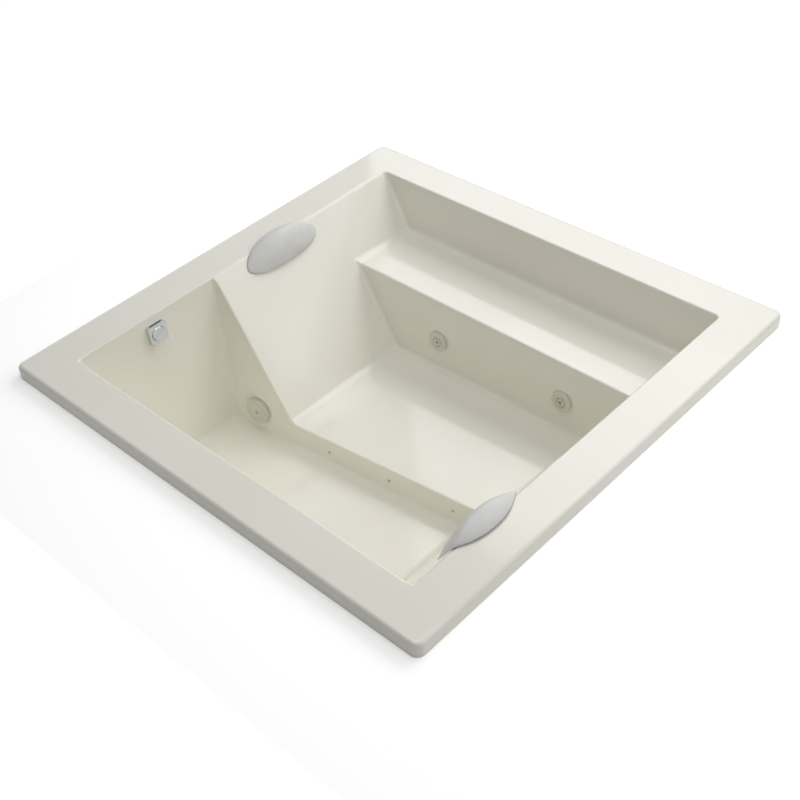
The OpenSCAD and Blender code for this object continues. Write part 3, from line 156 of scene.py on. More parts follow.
@dataclass(frozen=True)
class Surface:
    """A material's nodes, its principled shader, and coordinates in metres on the piece."""

    tree: bpy.types.NodeTree
    shader: bpy.types.Node
    place: bpy.types.NodeSocket

    def pattern_node(
        self, kind: str, settings: dict[str | int, Any], place: bpy.types.NodeSocket | None = None
    ) -> bpy.types.Node:
        """Adds a texture that lies on the piece.

        Args:
            kind: Blender's name for the node type.
            settings: the texture's values.
            place: coordinates to use in place of the piece's own.

        Returns:
            The node.
        """
        return add_node(self.tree, kind, settings, {"Vector": place or self.place})

    def noise(
        self,
        cell_mm: float,
        detail: float,
        place: bpy.types.NodeSocket | None = None,
        **more: float,
    ) -> bpy.types.NodeSocket:
        """Adds a cloudy pattern.

        Args:
            cell_mm: width of one cloud.
            detail: how many finer layers lie over it.
            place: coordinates to use in place of the piece's own.
            more: other inputs of the texture.

        Returns:
            The pattern, from 0 to 1.
        """
        settings = {"Scale": per_metre(cell_mm), "Detail": detail, **more}
        return self.pattern_node("ShaderNodeTexNoise", settings, place).outputs["Fac"]

    def cells(self, cell_mm: float, **more: str | float) -> bpy.types.NodeSocket:
        """Adds a pattern of grains.

        Args:
            cell_mm: width of one grain.
            more: other properties and inputs of the texture.

        Returns:
            The distance within each grain.
        """
        settings = {**more, "Scale": per_metre(cell_mm)}
        return self.pattern_node("ShaderNodeTexVoronoi", settings).outputs["Distance"]

    def stretch(self, shares: tuple[float, float, float]) -> bpy.types.NodeSocket:
        """Adds coordinates drawn out by a share along each axis.

        Args:
            shares: how fast the pattern runs along X, Y and Z.

        Returns:
            The coordinates.
        """
        drawn_out = self.pattern_node("ShaderNodeMapping", {"Scale": shares})
        return drawn_out.outputs["Vector"]


@dataclass(frozen=True)
class Finish:
    """A material by its real name, with the values that it starts from."""

    name: str
    colour: str
    roughness: float
    metallic: float = 0.0
    ior: float = 1.5

    def make(self) -> bpy.types.Material:
        """Makes the material, with its pattern.

        Returns:
            The material, named for what it is.
        """
        material = bpy.data.materials.new(self.name)
        material.use_nodes = True
        tree = material.node_tree
        tree.nodes.clear()
        shader = add_node(
            tree,
            "ShaderNodeBsdfPrincipled",
            {
                "Base Color": linear(self.colour),
                "Roughness": self.roughness,
                "Metallic": self.metallic,
                "IOR": self.ior,
            },
        )
        add_node(tree, "ShaderNodeOutputMaterial", links={"Surface": shader.outputs["BSDF"]})
        place = add_node(tree, "ShaderNodeTexCoord").outputs["Object"]
        self.pattern(Surface(tree, shader, place))
        return material

    def pattern(self, surface: Surface) -> None:
        """Adds the surface's own detail. A plain finish has none.

        Args:
            surface: the surface that takes it.
        """

    def shade_between(
        self,
        surface: Surface,
        amount: bpy.types.NodeSocket,
        other: str,
        low: float = 0.3,
        high: float = 0.7,
    ) -> None:
        """Runs the base colour from the finish's own to another along a pattern.

        Args:
            surface: the surface that takes it.
            amount: the pattern, from 0 to 1.
            other: hex colour at the pattern's high end.
            low: pattern value where the finish's own colour ends.
            high: pattern value where the other colour starts.
        """
        ramp = add_node(surface.tree, "ShaderNodeValToRGB", links={"Fac": amount})
        own_end, other_end = ramp.color_ramp.elements
        own_end.position, own_end.color = low, linear(self.colour)
        other_end.position, other_end.color = high, linear(other)
        surface.tree.links.new(ramp.outputs["Color"], surface.shader.inputs["Base Color"])

    def rough_between(self, surface: Surface, amount: bpy.types.NodeSocket, high: float) -> None:
        """Runs the roughness from the finish's own to a higher one along a pattern.

        Args:
            surface: the surface that takes it.
            amount: the pattern, from 0 to 1.
            high: roughness at the pattern's high end.
        """
        ends = {"To Min": self.roughness, "To Max": high}
        spread = add_node(surface.tree, "ShaderNodeMapRange", ends, {"Value": amount})
        surface.tree.links.new(spread.outputs["Result"], surface.shader.inputs["Roughness"])

    def raise_by(
        self,
        surface: Surface,
        height: bpy.types.NodeSocket,
        depth_mm: float,
        strength: float = 1.0,
    ) -> None:
        """Gives the surface the relief of a pattern.

        Args:
            surface: the surface that takes it.
            height: the pattern, from 0 to 1.
            depth_mm: real depth between the pattern's low and high ends.
            strength: share of the relief that is used.
        """
        relief = {"Distance": depth_mm * MM, "Strength": strength}
        bump = add_node(surface.tree, "ShaderNodeBump", relief, {"Height": height})
        surface.tree.links.new(bump.outputs["Normal"], surface.shader.inputs["Normal"])


@dataclass(frozen=True)
class CastAcrylic(Finish):
    """Vacuum-formed acrylic sheet: deep even gloss, with the faint long waves of a drawn sheet."""

    wave_mm: float = 90.0
    wave_depth_mm: float = 0.05
    shade: str = "#F1EFE4"

    def pattern(self, surface: Surface) -> None:
        """Adds the sheet's long waves and its slow change of tone."""
        waves = surface.noise(self.wave_mm, 1.0, Roughness=0.4)
        tone = surface.noise(4 * self.wave_mm, 2.0)
        self.shade_between(surface, tone, self.shade)
        self.raise_by(surface, waves, self.wave_depth_mm)


@dataclass(frozen=True)
class Fibreglass(Finish):
    """Chopped glass strands in polyester resin, rolled on by hand: coarse, cloudy, half gloss."""

    strand_mm: float = 4.0
    cloud_mm: float = 60.0
    dry_roughness: float = 0.75
    relief_mm: float = 1.2
    shade: str = "#B7AE93"

    def pattern(self, surface: Surface) -> None:
        """Adds the clouds of resin and the crossed strands under them.

        Args:
            surface: the surface that takes them.
        """
        cloud = surface.noise(self.cloud_mm, 6.0, Roughness=0.65)
        strands = surface.cells(3 * self.strand_mm, feature="DISTANCE_TO_EDGE", Randomness=1.0)
        fine = surface.noise(self.strand_mm, 4.0, Distortion=2.0)
        added = {"operation": "ADD"}
        relief = add_node(surface.tree, "ShaderNodeMath", added, {0: strands, 1: fine})
        self.shade_between(surface, cloud, self.shade, 0.35, 0.7)
        self.rough_between(surface, fine, self.dry_roughness)
        self.raise_by(surface, relief.outputs["Value"], self.relief_mm, 0.8)


@dataclass(frozen=True)
class Moulded(Finish):
    """Injection-moulded plastic: a fine even grain, a little duller than the acrylic."""

    grain_mm: float = 1.2
    grain_depth_mm: float = 0.02
    rise: float = 0.12
    shade: str = "#D8D6C8"

    def pattern(self, surface: Surface) -> None:
        """Adds the mould's grain and a slight change of tone."""
        grain = surface.noise(self.grain_mm, 3.0)
        tone = surface.noise(30 * self.grain_mm, 2.0)
        self.shade_between(surface, tone, self.shade)
        self.rough_between(surface, grain, self.roughness + self.rise)
        self.raise_by(surface, grain, self.grain_depth_mm)


@dataclass(frozen=True)
class FoamSkin(Finish):
    """Integral-skin polyurethane foam: soft satin with the pebble of a leather-grained mould."""

    pebble_mm: float = 2.4
    pebble_depth_mm: float = 0.06
    rise: float = 0.15
    shade: str = "#DADAD9"

    def pattern(self, surface: Surface) -> None:
        """Adds the pebble grain, drawn a little coarser than the real 1 mm so that it shows."""
        pebble = surface.cells(self.pebble_mm, feature="SMOOTH_F1", Smoothness=0.6)
        soft = surface.noise(16 * self.pebble_mm, 2.0)
        self.shade_between(surface, soft, self.shade)
        self.rough_between(surface, pebble, self.roughness + self.rise)
        self.raise_by(surface, pebble, self.pebble_depth_mm, 0.6)


@dataclass(frozen=True)
class PolishedMetal(Finish):
    """Plated or machined metal: mirror or satin, with faint wipe marks."""

    mark_mm: float = 14.0
    mark_rise: float = 0.06
    relief_mm: float = 0.01

    def pattern(self, surface: Surface) -> None:
        """Adds the wipe marks that break up the mirror."""
        marks = surface.noise(self.mark_mm, 5.0, Roughness=0.6, Distortion=1.5)
        self.rough_between(surface, marks, self.roughness + self.mark_rise)
        self.raise_by(surface, marks, self.relief_mm)


@dataclass(frozen=True)
class Timber(Finish):
    """Sawn spruce: straight growth rings along the piece, dry and matt."""

    ring_mm: float = 9.0
    dry_roughness: float = 0.8
    saw_mm: float = 0.25
    shade: str = "#A9834F"
    grain: Grain = Grain.ALONG_X

    def pattern(self, surface: Surface) -> None:
        """Adds growth rings and saw marks along the fibres.

        Args:
            surface: the surface that takes them.
        """
        along = surface.stretch(self.grain.value)
        rings = surface.noise(self.ring_mm, 5.0, along, Distortion=0.6)
        pores = surface.noise(self.ring_mm / 6, 3.0, along)
        self.shade_between(surface, rings, self.shade, 0.4, 0.68)
        self.rough_between(surface, pores, self.dry_roughness)
        self.raise_by(surface, pores, self.saw_mm)


@dataclass(frozen=True)
class Plywood(Finish):
    """Peeled veneers glued crosswise: broad figure on the faces, thin dark lines on the edges."""

    ply_mm: float = 3.0
    figure_mm: float = 45.0
    relief_mm: float = 0.2
    shade: str = "#9B7748"

    def pattern(self, surface: Surface) -> None:
        """Adds the veneer's figure and the plies that show at the board's edges.

        Args:
            surface: the surface that takes them.
        """
        along = surface.stretch((0.25, 1.0, 0.0))
        figure = surface.noise(self.figure_mm, 6.0, along, Distortion=1.6)
        bands = {"bands_direction": "Z", "Scale": per_metre(self.ply_mm) / 10}
        bands |= {"Distortion": 0.4, "Detail": 2.0}
        plies = surface.pattern_node("ShaderNodeTexWave", bands).outputs["Fac"]
        share = {"data_type": "FLOAT", "Factor": 0.35}
        blend = add_node(surface.tree, "ShaderNodeMix", share, {2: figure, 3: plies})
        self.shade_between(surface, blend.outputs["Result"], self.shade, 0.35, 0.75)
        self.raise_by(surface, figure, self.relief_mm)


@dataclass(frozen=True)
class Gritty(Finish):
    """Sand-filled resin or mortar, trowelled by hand: speckled and rough."""

    grit_mm: float = 3.0
    dry_roughness: float = 0.95
    relief_mm: float = 1.5
    shade: str = "#8C8878"

    def pattern(self, surface: Surface) -> None:
        """Adds the speckle and the trowelled unevenness."""
        grit = surface.cells(self.grit_mm)
        lumps = surface.noise(8 * self.grit_mm, 8.0, Roughness=0.7)
        self.shade_between(surface, lumps, self.shade, 0.35, 0.7)
        self.rough_between(surface, grit, self.dry_roughness)
        self.raise_by(surface, lumps, self.relief_mm)


class Finishes:
    """Every finish of the bath, made once and handed out by name or by the record's slot."""

    def __init__(self) -> None:
        """Makes the materials."""
        self.acrylic = CastAcrylic("cast_acrylic_biscuit", "#F4F2E8", 0.09, ior=1.49).make()
        self.fibreglass = Fibreglass("chopped_fibreglass_laminate", "#CFC8B0", 0.45).make()
        kinds = {
            "moulded_trim": Moulded("moulded_abs_biscuit", "#DEDCCE", 0.24, ior=1.53),
            "timber": Timber("sawn_spruce_along_x", "#CBA56C", 0.6),
            "plywood": Plywood("birch_plywood", "#C49A63", 0.5),
            "resin_bed": Gritty("sand_filled_resin", "#B4AF9C", 0.8),
            "cushion_skin": FoamSkin("integral_skin_foam_grey", "#E0E0DF", 0.4),
            "rubber": Moulded("moulded_epdm_rubber", "#2B2B2B", 0.6, shade="#3A3A39"),
            "chrome": PolishedMetal("chrome_plate_polished", "#D4D7DA", 0.06, metallic=1.0),
            "steel": PolishedMetal(
                "zinc_plated_steel", "#B3B6B8", 0.3, metallic=1.0, mark_rise=0.2, relief_mm=0.03
            ),
            "pump_plastic": Moulded(
                "glass_filled_polypropylene", "#33363A", 0.42, grain_depth_mm=0.05, shade="#2A2C30"
            ),
            "motor_paint": Moulded(
                "powder_coated_aluminium",
                "#4A5058",
                0.36,
                grain_mm=2.2,
                grain_depth_mm=0.08,
                shade="#434850",
            ),
            "pipe_plastic": Moulded("rigid_pvc_pipe", "#EAE9E4", 0.26, shade="#E1E0DA"),
        }
        self.slots: dict[str, bpy.types.Material] = {"acrylic": self.acrylic}
        self.slots |= {slot: kind.make() for slot, kind in kinds.items()}
        self.timber_along_y = Timber(
            "sawn_spruce_along_y", "#CBA56C", 0.6, grain=Grain.ALONG_Y
        ).make()


# Rounded space of the basin


@dataclass(frozen=True)
class Space:
    """How far points lie outside a space, with the slope of that distance."""

    value: np.ndarray
    slope: np.ndarray


Plane = tuple[np.ndarray, float]


def plane(normal: Sequence[float], point: Sequence[float]) -> Plane:
    """Makes a plane.

    Args:
        normal: direction out of the space that the plane bounds.
        point: a point on it.

    Returns:
        The plane's unit normal, and its distance from the origin along it.
    """
    unit = np.array(normal, float) / np.linalg.norm(normal)
    return unit, float(unit @ np.array(point, float))


def under(points: np.ndarray, wall: Plane) -> Space:
    """Half space under a plane.

    Args:
        points: where it is worked out.
        wall: the plane.

    Returns:
        The half space at the points.
    """
    return Space(points @ wall[0] - wall[1], np.broadcast_to(wall[0], points.shape))


def weigh(a: Space, b: Space, pull_a: np.ndarray, pull_b: np.ndarray, lower: bool) -> np.ndarray:
    """Slope of two spaces joined with a round between them.

    Args:
        a: one space.
        b: the other.
        pull_a: how far each point is into the round, from a's side.
        pull_b: the same from b's side.
        lower: whether the lower of the two spaces counts where there is no round.

    Returns:
        The slope at each point.
    """
    reach = np.hypot(pull_a, pull_b)[:, None]
    mixed = (pull_a[:, None] * a.slope + pull_b[:, None] * b.slope) / np.maximum(reach, TINY)
    first = (a.value < b.value) if lower else (a.value > b.value)
    return np.where(reach > TINY, mixed, np.where(first[:, None], a.slope, b.slope))


def both(a: Space, b: Space, radius: float) -> Space:
    """Space inside a and b, with a fillet where their walls meet.

    Args:
        a: one space.
        b: the other.
        radius: radius of the fillet.

    Returns:
        The space that they share.
    """
    pull_a, pull_b = np.maximum(a.value + radius, 0), np.maximum(b.value + radius, 0)
    value = np.minimum(np.maximum(a.value, b.value), -radius) + np.hypot(pull_a, pull_b)
    return Space(value, weigh(a, b, pull_a, pull_b, False))


def either(a: Space, b: Space, radius: float, least: float, full: float) -> Space:
    """Space inside a or b, with the edge between them rounded.

    Args:
        a: one space.
        b: the other.
        radius: radius of the rounded edge.
        least: turn between the two walls, as one less its cosine, up to which nothing is rounded.
            So a wall that the two spaces share stays flat.
        full: turn from which the whole radius is used.

    Returns:
        The joined space.
    """
    turn = 1 - np.einsum("ij,ij->i", a.slope, b.slope)
    round_ = radius * np.clip((turn - least) / (full - least), 0, 1)
    pull_a, pull_b = np.maximum(round_ - a.value, 0), np.maximum(round_ - b.value, 0)
    value = np.maximum(np.minimum(a.value, b.value), round_) - np.hypot(pull_a, pull_b)
    return Space(value, weigh(a, b, pull_a, pull_b, True))


@dataclass(frozen=True)
class Hole:
    """A round hole in the shell, by the seat of its fitting."""

    seat: tuple[float, float, float]
    out: tuple[float, float, float]
    radius: float


@dataclass
class Shell:
    """The formed acrylic shell, with its rim, lip, basin and laminated back."""

    side: float = 1524.0
    height: float = 572.0
    rim: float = 127.0
    lip: float = 42.0
    corner_r: float = 24.0
    edge_r: float = 12.0
    thick: float = 7.0
    opening_r: float = 5.0
    step_r: float = 4.5
    wall_fillet: float = 14.0
    floor_fillet: float = 13.0
    backrest_slope: float = 33.5
    end_draft: float = 4.5
    side_draft: float = 6.5
    shelf_depth: float = 173.0
    shelf_reach: float = 263.0
    jet_wall_draft: float = 3.5
    lounge_depth: float = 427.0
    lounge_fall: float = 1.43
    lounge_drain_fall: float = 0.8
    channel_depth: float = 519.0
    channel_fall: float = 1.15
    divider_y: float = -67.0
    divider_turn: float = 5.2
    divider_lean: float = 4.1
    second_side_y: float = -109.0
    second_side_lean: float = 6.0
    skin_pitch: float = 5.0
    back_pitch: float = 10.0
    tile: float = 190.0
    corner_steps: int = 8
    settle_steps: int = 8
    least_steep: float = 0.2
    shared_turn: tuple[float, float] = (0.3, 0.6)
    edge_turn: tuple[float, float] = (0.0, 0.25)
    fit: float = 0.3
    jet_barrel_d: float = 47.2
    nozzle_barrel_d: float = 8.0
    overflow_barrel_d: float = 42.0
    suction_barrel_d: float = 54.0
    drain_barrel_d: float = 46.0
    holes: list[Hole] = field(default_factory=list)

    def __post_init__(self) -> None:
        """Works the walls out of the sizes."""
        top, half = self.height, self.side / 2 - self.rim
        rest, end = math.radians(self.backrest_slope), math.radians(self.end_draft)
        side, jets = math.radians(self.side_draft), math.radians(self.jet_wall_draft)
        lean = math.tan(math.radians(self.divider_lean))
        self.head = plane((-math.cos(rest), 0, -math.sin(rest)), (-half, 0, top))
        self.foot = plane((math.cos(rest), 0, -math.sin(rest)), (half, 0, top))
        self.drain_end = plane((-math.cos(end), 0, -math.sin(end)), (-half, 0, top))
        self.lounge_end = plane((math.cos(end), 0, -math.sin(end)), (half, 0, top))
        self.back = plane((0, math.cos(side), -math.sin(side)), (0, half, top))
        self.front = plane((0, -math.cos(side), -math.sin(side)), (0, -half, top))
        shelf_y, shelf_z = half - self.shelf_reach, top - self.shelf_depth
        self.jets = plane((0, math.cos(jets), -math.sin(jets)), (0, shelf_y, shelf_z))
        self.shelf = plane((0, 0, -1), (0, 0, shelf_z))
        turn = math.tan(math.radians(self.divider_turn))
        self.divider = plane((-turn, 1, -lean), (0, self.divider_y, top))
        second = math.tan(math.radians(self.second_side_lean))
        self.second_side = plane((0, -1, -second), (0, self.second_side_y, top))
        falls = (self.lounge_fall, self.lounge_drain_fall, self.channel_fall)
        along, across, channel = (math.tan(math.radians(fall)) for fall in falls)
        self.lounge = self.floor(self.head, self.lounge_depth, shelf_y, (along, across))
        self.channel = self.floor(self.drain_end, self.channel_depth, 0.0, (channel, 0.0))
        self.channel_side = plane((0, -1, 0), (0, -half / 2, 0))
        self.top = plane((0, 0, -1), (0, 0, top))

    def floor(self, end: Plane, depth: float, y: float, fall: tuple[float, float]) -> Plane:
        """A floor that rises from the foot of an end wall.

        Args:
            end: the end wall.
            depth: depth of the floor under the rim at that wall.
            y: place across the bath where it has that depth.
            fall: rise along X and along Y, as tangents.

        Returns:
            The floor's plane.
        """
        z = self.height - depth
        x = (end[1] - end[0][2] * z) / end[0][0]
        return plane((*fall, -1), (x, y, z))

    def blocks(self) -> tuple[tuple[Plane, ...], ...]:
        """Lists the walls of the four spaces that make up the basin.

        Returns:
            The walls of the lounge, the channel, the far end and the shelf, each floor last.
        """
        return (
            (self.head, self.jets, self.channel_side, self.lounge),
            (self.drain_end, self.front, self.divider, self.channel),
            (self.head, self.lounge_end, self.second_side, self.jets, self.lounge),
            (self.head, self.lounge_end, self.second_side, self.back, self.shelf),
        )

    def outside(self, points: np.ndarray) -> Space:
        """Space outside the rim's outline, with its plan corners rounded.

        Args:
            points: where it is worked out.

        Returns:
            The space at the points.
        """
        flat = self.side / 2 - self.corner_r
        over = np.maximum(np.abs(points[:, :2]) - flat, 0)
        reach = np.hypot(over[:, 0], over[:, 1])
        inner = np.minimum(np.abs(points[:, :2]).max(1) - flat, 0)
        slope = np.zeros(points.shape)
        wide = np.abs(points[:, 0]) > np.abs(points[:, 1])
        rounded = reach > TINY
        length = np.maximum(reach, TINY)
        slope[:, 0] = np.where(rounded, over[:, 0] / length, wide)
        slope[:, 1] = np.where(rounded, over[:, 1] / length, ~wide)
        slope[:, :2] *= -np.sign(points[:, :2])
        return Space(self.corner_r - reach - inner, slope)

    def air(self, points: np.ndarray) -> Space:
        """The air over the shell: in the basin, over the rim and outside the lip.

        Args:
            points: where it is worked out.

        Returns:
            The air at the points.
        """
        parts = []
        for walls in self.blocks():
            part = under(points, walls[0])
            for wall in walls[1:-1]:
                part = both(part, under(points, wall), self.wall_fillet)
            parts.append(both(part, under(points, walls[-1]), self.floor_fillet))
        space = either(parts[0], parts[1], self.step_r, *self.shared_turn)
        space = both(space, under(points, self.foot), self.wall_fillet)
        for part in parts[2:]:
            space = either(space, part, self.step_r, *self.shared_turn)
        space = either(space, under(points, self.top), self.opening_r, *self.edge_turn)
        return either(space, self.outside(points), self.edge_r, *self.edge_turn)

    def sharp_air(self, points: np.ndarray) -> np.ndarray:
        """The same air with no rounded edges, which is quick to work out for a whole grid.

        Args:
            points: where it is worked out.

        Returns:
            How far each point lies outside the air.
        """
        heights = [[points @ n - d for n, d in walls] for walls in self.blocks()]
        space = np.minimum(np.maximum.reduce(heights[0]), np.maximum.reduce(heights[1]))
        space = np.maximum(space, points @ self.foot[0] - self.foot[1])
        for more in heights[2:]:
            space = np.minimum(space, np.maximum.reduce(more))
        space = np.minimum(space, self.height - points[:, 2])
        return np.minimum(space, self.side / 2 - np.abs(points[:, :2]).max(1))

    def sheet(self, level: float, pitch: float) -> tuple[np.ndarray, np.ndarray]:
        """One face of the shell as a net of quads.

        Args:
            level: depth of the face under the finished surface.
            pitch: size of a quad.

        Returns:
            The points in millimetres, and the corners of the quads, wound to face the air.
        """
        half = self.side / 2 + 2 * pitch
        low = np.array([-half, -half, self.height - self.channel_depth - 3 * pitch])
        high = np.array([half, half, self.height + 2 * pitch])
        points, quads = net(lambda p: self.sharp_air(p) - level, low, high, pitch)
        for _ in range(self.settle_steps):
            now = self.air(points)
            steep = np.maximum(np.einsum("ij,ij->i", now.slope, now.slope), self.least_steep)
            points = points - ((now.value - level) / steep)[:, None] * now.slope
        lip_z = self.height - self.lip
        near_edge = np.abs(points[:, :2]).max(1) > self.side / 2 - self.rim / 2
        middle = points[quads].mean(1)
        kept = (middle[:, 2] > lip_z) | ~near_edge[quads].all(1)
        for hole in self.holes:
            points, kept = cut_round(points, quads, kept, hole)
        quads = quads[kept]
        low_edge = near_edge & (points[:, 2] < lip_z + pitch / 2)
        points[low_edge, 2] = lip_z
        used, quads = np.unique(quads, return_inverse=True)
        return points[used], quads.reshape(-1, 4)

    def skin(self, finishes: Finishes) -> bpy.types.Object:
        """The finished face: glossy acrylic over the rim, lip and basin.

        Args:
            finishes: the finishes.

        Returns:
            The object.
        """
        points, quads = self.sheet(0.0, self.skin_pitch)
        skin = sheet_object("shell_skin", points, quads, self.tile)
        set_normals(skin.data, lambda p: -self.air(p).slope, self.skin_pitch)
        skin.data.materials.append(finishes.acrylic)
        return skin

    def laminate(self, finishes: Finishes) -> bpy.types.Object:
        """The back of the shell: fibreglass, with the cut edge of the lip.

        Args:
            finishes: the finishes.

        Returns:
            The object.
        """
        points, quads = self.sheet(self.thick, self.back_pitch)
        back = sheet_object("shell_laminate", points, quads[:, ::-1], self.tile)
        set_normals(back.data, lambda p: self.air(p).slope, self.back_pitch)
        back.data.materials.append(finishes.fibreglass)
        return back

    def lip_edge(self, finishes: Finishes) -> bpy.types.Object:
        """The sawn lower edge of the lip, between the skin and the laminate.

        Args:
            finishes: the finishes.

        Returns:
            The object.
        """
        steps, centre = self.corner_steps, self.side / 2 - self.corner_r
        z = (self.height - self.lip) * MM
        verts, faces = [], []
        for k, (sx, sy) in enumerate(((1, 1), (-1, 1), (-1, -1), (1, -1))):
            for i in range(steps + 1):
                a = math.radians(90 * k + 90 * i / steps)
                for r in (self.corner_r, self.corner_r - self.thick):
                    x, y = sx * centre + r * math.cos(a), sy * centre + r * math.sin(a)
                    verts.append((x * MM, y * MM, z))
        for i in range(0, len(verts), 2):
            j = (i + 2) % len(verts)
            faces.append((i, i + 1, j + 1, j))
        mesh = bpy.data.meshes.new("lip_edge")
        mesh.from_pydata(verts, [], faces)
        mesh.materials.append(finishes.acrylic)
        return link(bpy.data.objects.new("lip_edge", mesh))

    def drill(self, nodes: dict[str, bpy.types.Object]) -> None:
        """Places the holes on the fittings that go through them.

        Args:
            nodes: the solids by name.
        """
        fittings = (
            ("jet_trim_1", self.jets, self.jet_barrel_d),
            ("jet_trim_2", self.jets, self.jet_barrel_d),
            ("jet_trim_3", self.front, self.jet_barrel_d),
            ("jet_trim_4", self.front, self.jet_barrel_d),
            ("riser_nozzles", self.divider, self.nozzle_barrel_d),
            ("suction_cover", self.divider, self.suction_barrel_d),
            ("overflow_housing", self.drain_end, self.overflow_barrel_d),
            ("drain_flange", self.channel, self.drain_barrel_d),
        )
        for node, wall, width in fittings:
            for seat in centres(nodes[node]):
                self.holes.append(Hole(seat, tuple(-wall[0]), width / 2 + self.fit))

    def build(self, nodes: dict[str, bpy.types.Object], finishes: Finishes) -> None:
        """Builds and dresses the shell's three faces, round the holes of its fittings.

        Args:
            nodes: the solids by name.
            finishes: the finishes.
        """
        self.drill(nodes)
        skin = self.skin(finishes)
        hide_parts("tub_shell")
        for piece in (skin, self.laminate(finishes), self.lip_edge(finishes)):
            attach(piece, ROOT_BODY)
            log.info("%s: %d faces", piece.name, len(piece.data.polygons))


# Meshes from points


def net(
    space: Callable[[np.ndarray], np.ndarray], low: np.ndarray, high: np.ndarray, pitch: float
) -> tuple[np.ndarray, np.ndarray]:
    """Net of quads over the surface where a space's value is nought.

    Args:
        space: gives the value at points, negative in the air.
        low: lowest corner of the grid.
        high: highest corner of the grid.
        pitch: distance between the grid's points.

    Returns:
        One point for each cell that the surface crosses, and the quads between them.
    """
    axes = [np.arange(low[i], high[i] + pitch, pitch) for i in range(3)]
    counts = [len(a) for a in axes]
    values = np.empty(counts, np.float32)
    plan = np.stack(np.meshgrid(axes[0], axes[1], indexing="ij"), -1).reshape(-1, 2)
    layer = np.empty((len(plan), 3))
    layer[:, :2] = plan
    for k, z in enumerate(axes[2]):
        layer[:, 2] = z
        values[:, :, k] = space(layer).reshape(counts[0], counts[1])
    solid = values > 0
    corners = [(i, j, k) for i in (0, 1) for j in (0, 1) for k in (0, 1)]
    cells = tuple(n - 1 for n in counts)
    filled = np.zeros(cells, np.uint8)
    for i, j, k in corners:
        filled += solid[i : i + cells[0], j : j + cells[1], k : k + cells[2]]
    crossed = np.argwhere((filled > 0) & (filled < 8))
    number = np.full(cells, -1, np.int64)
    number[tuple(crossed.T)] = np.arange(len(crossed))
    total, hits = np.zeros((len(crossed), 3)), np.zeros(len(crossed))
    for a, start in enumerate(corners):
        for stop in corners[a + 1 :]:
            if sum(abs(p - q) for p, q in zip(start, stop)) != 1:
                continue
            one = values[tuple((crossed + start).T)].astype(float)
            two = values[tuple((crossed + stop).T)].astype(float)
            meets = (one > 0) != (two > 0)
            share = np.where(meets, one / np.where(meets, one - two, 1), 0)[:, None]
            spot = np.array(start) + share * (np.array(stop) - np.array(start))
            total += np.where(meets[:, None], spot, 0)
            hits += meets
    points = low + (crossed + total / hits[:, None]) * pitch
    quads = []
    for axis in range(3):
        u, v = (axis + 1) % 3, (axis + 2) % 3
        ahead = np.moveaxis(solid, axis, 0)
        turns = np.moveaxis(ahead[1:] != ahead[:-1], 0, axis)
        edges = np.argwhere(turns)
        inner = (edges[:, u] > 0) & (edges[:, v] > 0)
        inner &= (edges[:, u] < cells[u]) & (edges[:, v] < cells[v])
        edges = edges[inner]
        step_u, step_v = np.eye(3, dtype=int)[u], np.eye(3, dtype=int)[v]
        ring = [edges - step_u - step_v, edges - step_v, edges, edges - step_u]
        quad = np.stack([number[tuple(r.T)] for r in ring], 1)
        rises = solid[tuple((edges + np.eye(3, dtype=int)[axis]).T)]
        quad[rises] = quad[rises][:, ::-1]
        quads.append(quad)
    return points, np.concatenate(quads)


def centres(solid: bpy.types.Object, apart: float = 60.0) -> list[tuple[float, float, float]]:
    """Middles of the pieces in a node, told apart by gaps along X.

    Args:
        solid: the node's object.
        apart: gap from which two pieces count as separate, in millimetres.

    Returns:
        The middle of each piece's box in millimetres.
    """
    points = np.empty(len(solid.data.vertices) * 3)
    solid.data.vertices.foreach_get("co", points)
    points = points.reshape(-1, 3) / MM
    points = points[points[:, 0].argsort()]
    breaks = np.flatnonzero(np.diff(points[:, 0]) > apart) + 1
    return [tuple((p.min(0) + p.max(0)) / 2) for p in np.split(points, breaks)]


def cut_round(
    points: np.ndarray, quads: np.ndarray, kept: np.ndarray, hole: Hole
) -> tuple[np.ndarray, np.ndarray]:
    """Cuts a round hole in a net by moving the points next to it onto its edge.

    Args:
        points: the net's points.
        quads: its quads.
        kept: which quads are kept so far.
        hole: the hole.

    Returns:
        The points and the quads that are kept.
    """
    out = np.array(hole.out) / np.linalg.norm(hole.out)
    reach = points - np.array(hole.seat)
    along = reach @ out
    across = reach - along[:, None] * out
    far = np.linalg.norm(across, axis=1)
    near = np.abs(along) < NEAR
    middle_far = np.linalg.norm(across[quads].mean(1), axis=1)
    gone = near[quads].all(1) & (middle_far < hole.radius)
    now = kept & ~gone
    edge = np.intersect1d(np.unique(quads[gone]), np.unique(quads[now]))
    points = points.copy()
    shift = (hole.radius / np.maximum(far[edge], TINY) - 1)[:, None]
    points[edge] += across[edge] * shift
    return points, now


def link(thing: bpy.types.Object) -> bpy.types.Object:
    """Puts an object in the scene.

    Args:
        thing: the object.

    Returns:
        The same object.
    """
    bpy.context.scene.collection.objects.link(thing)
    return thing


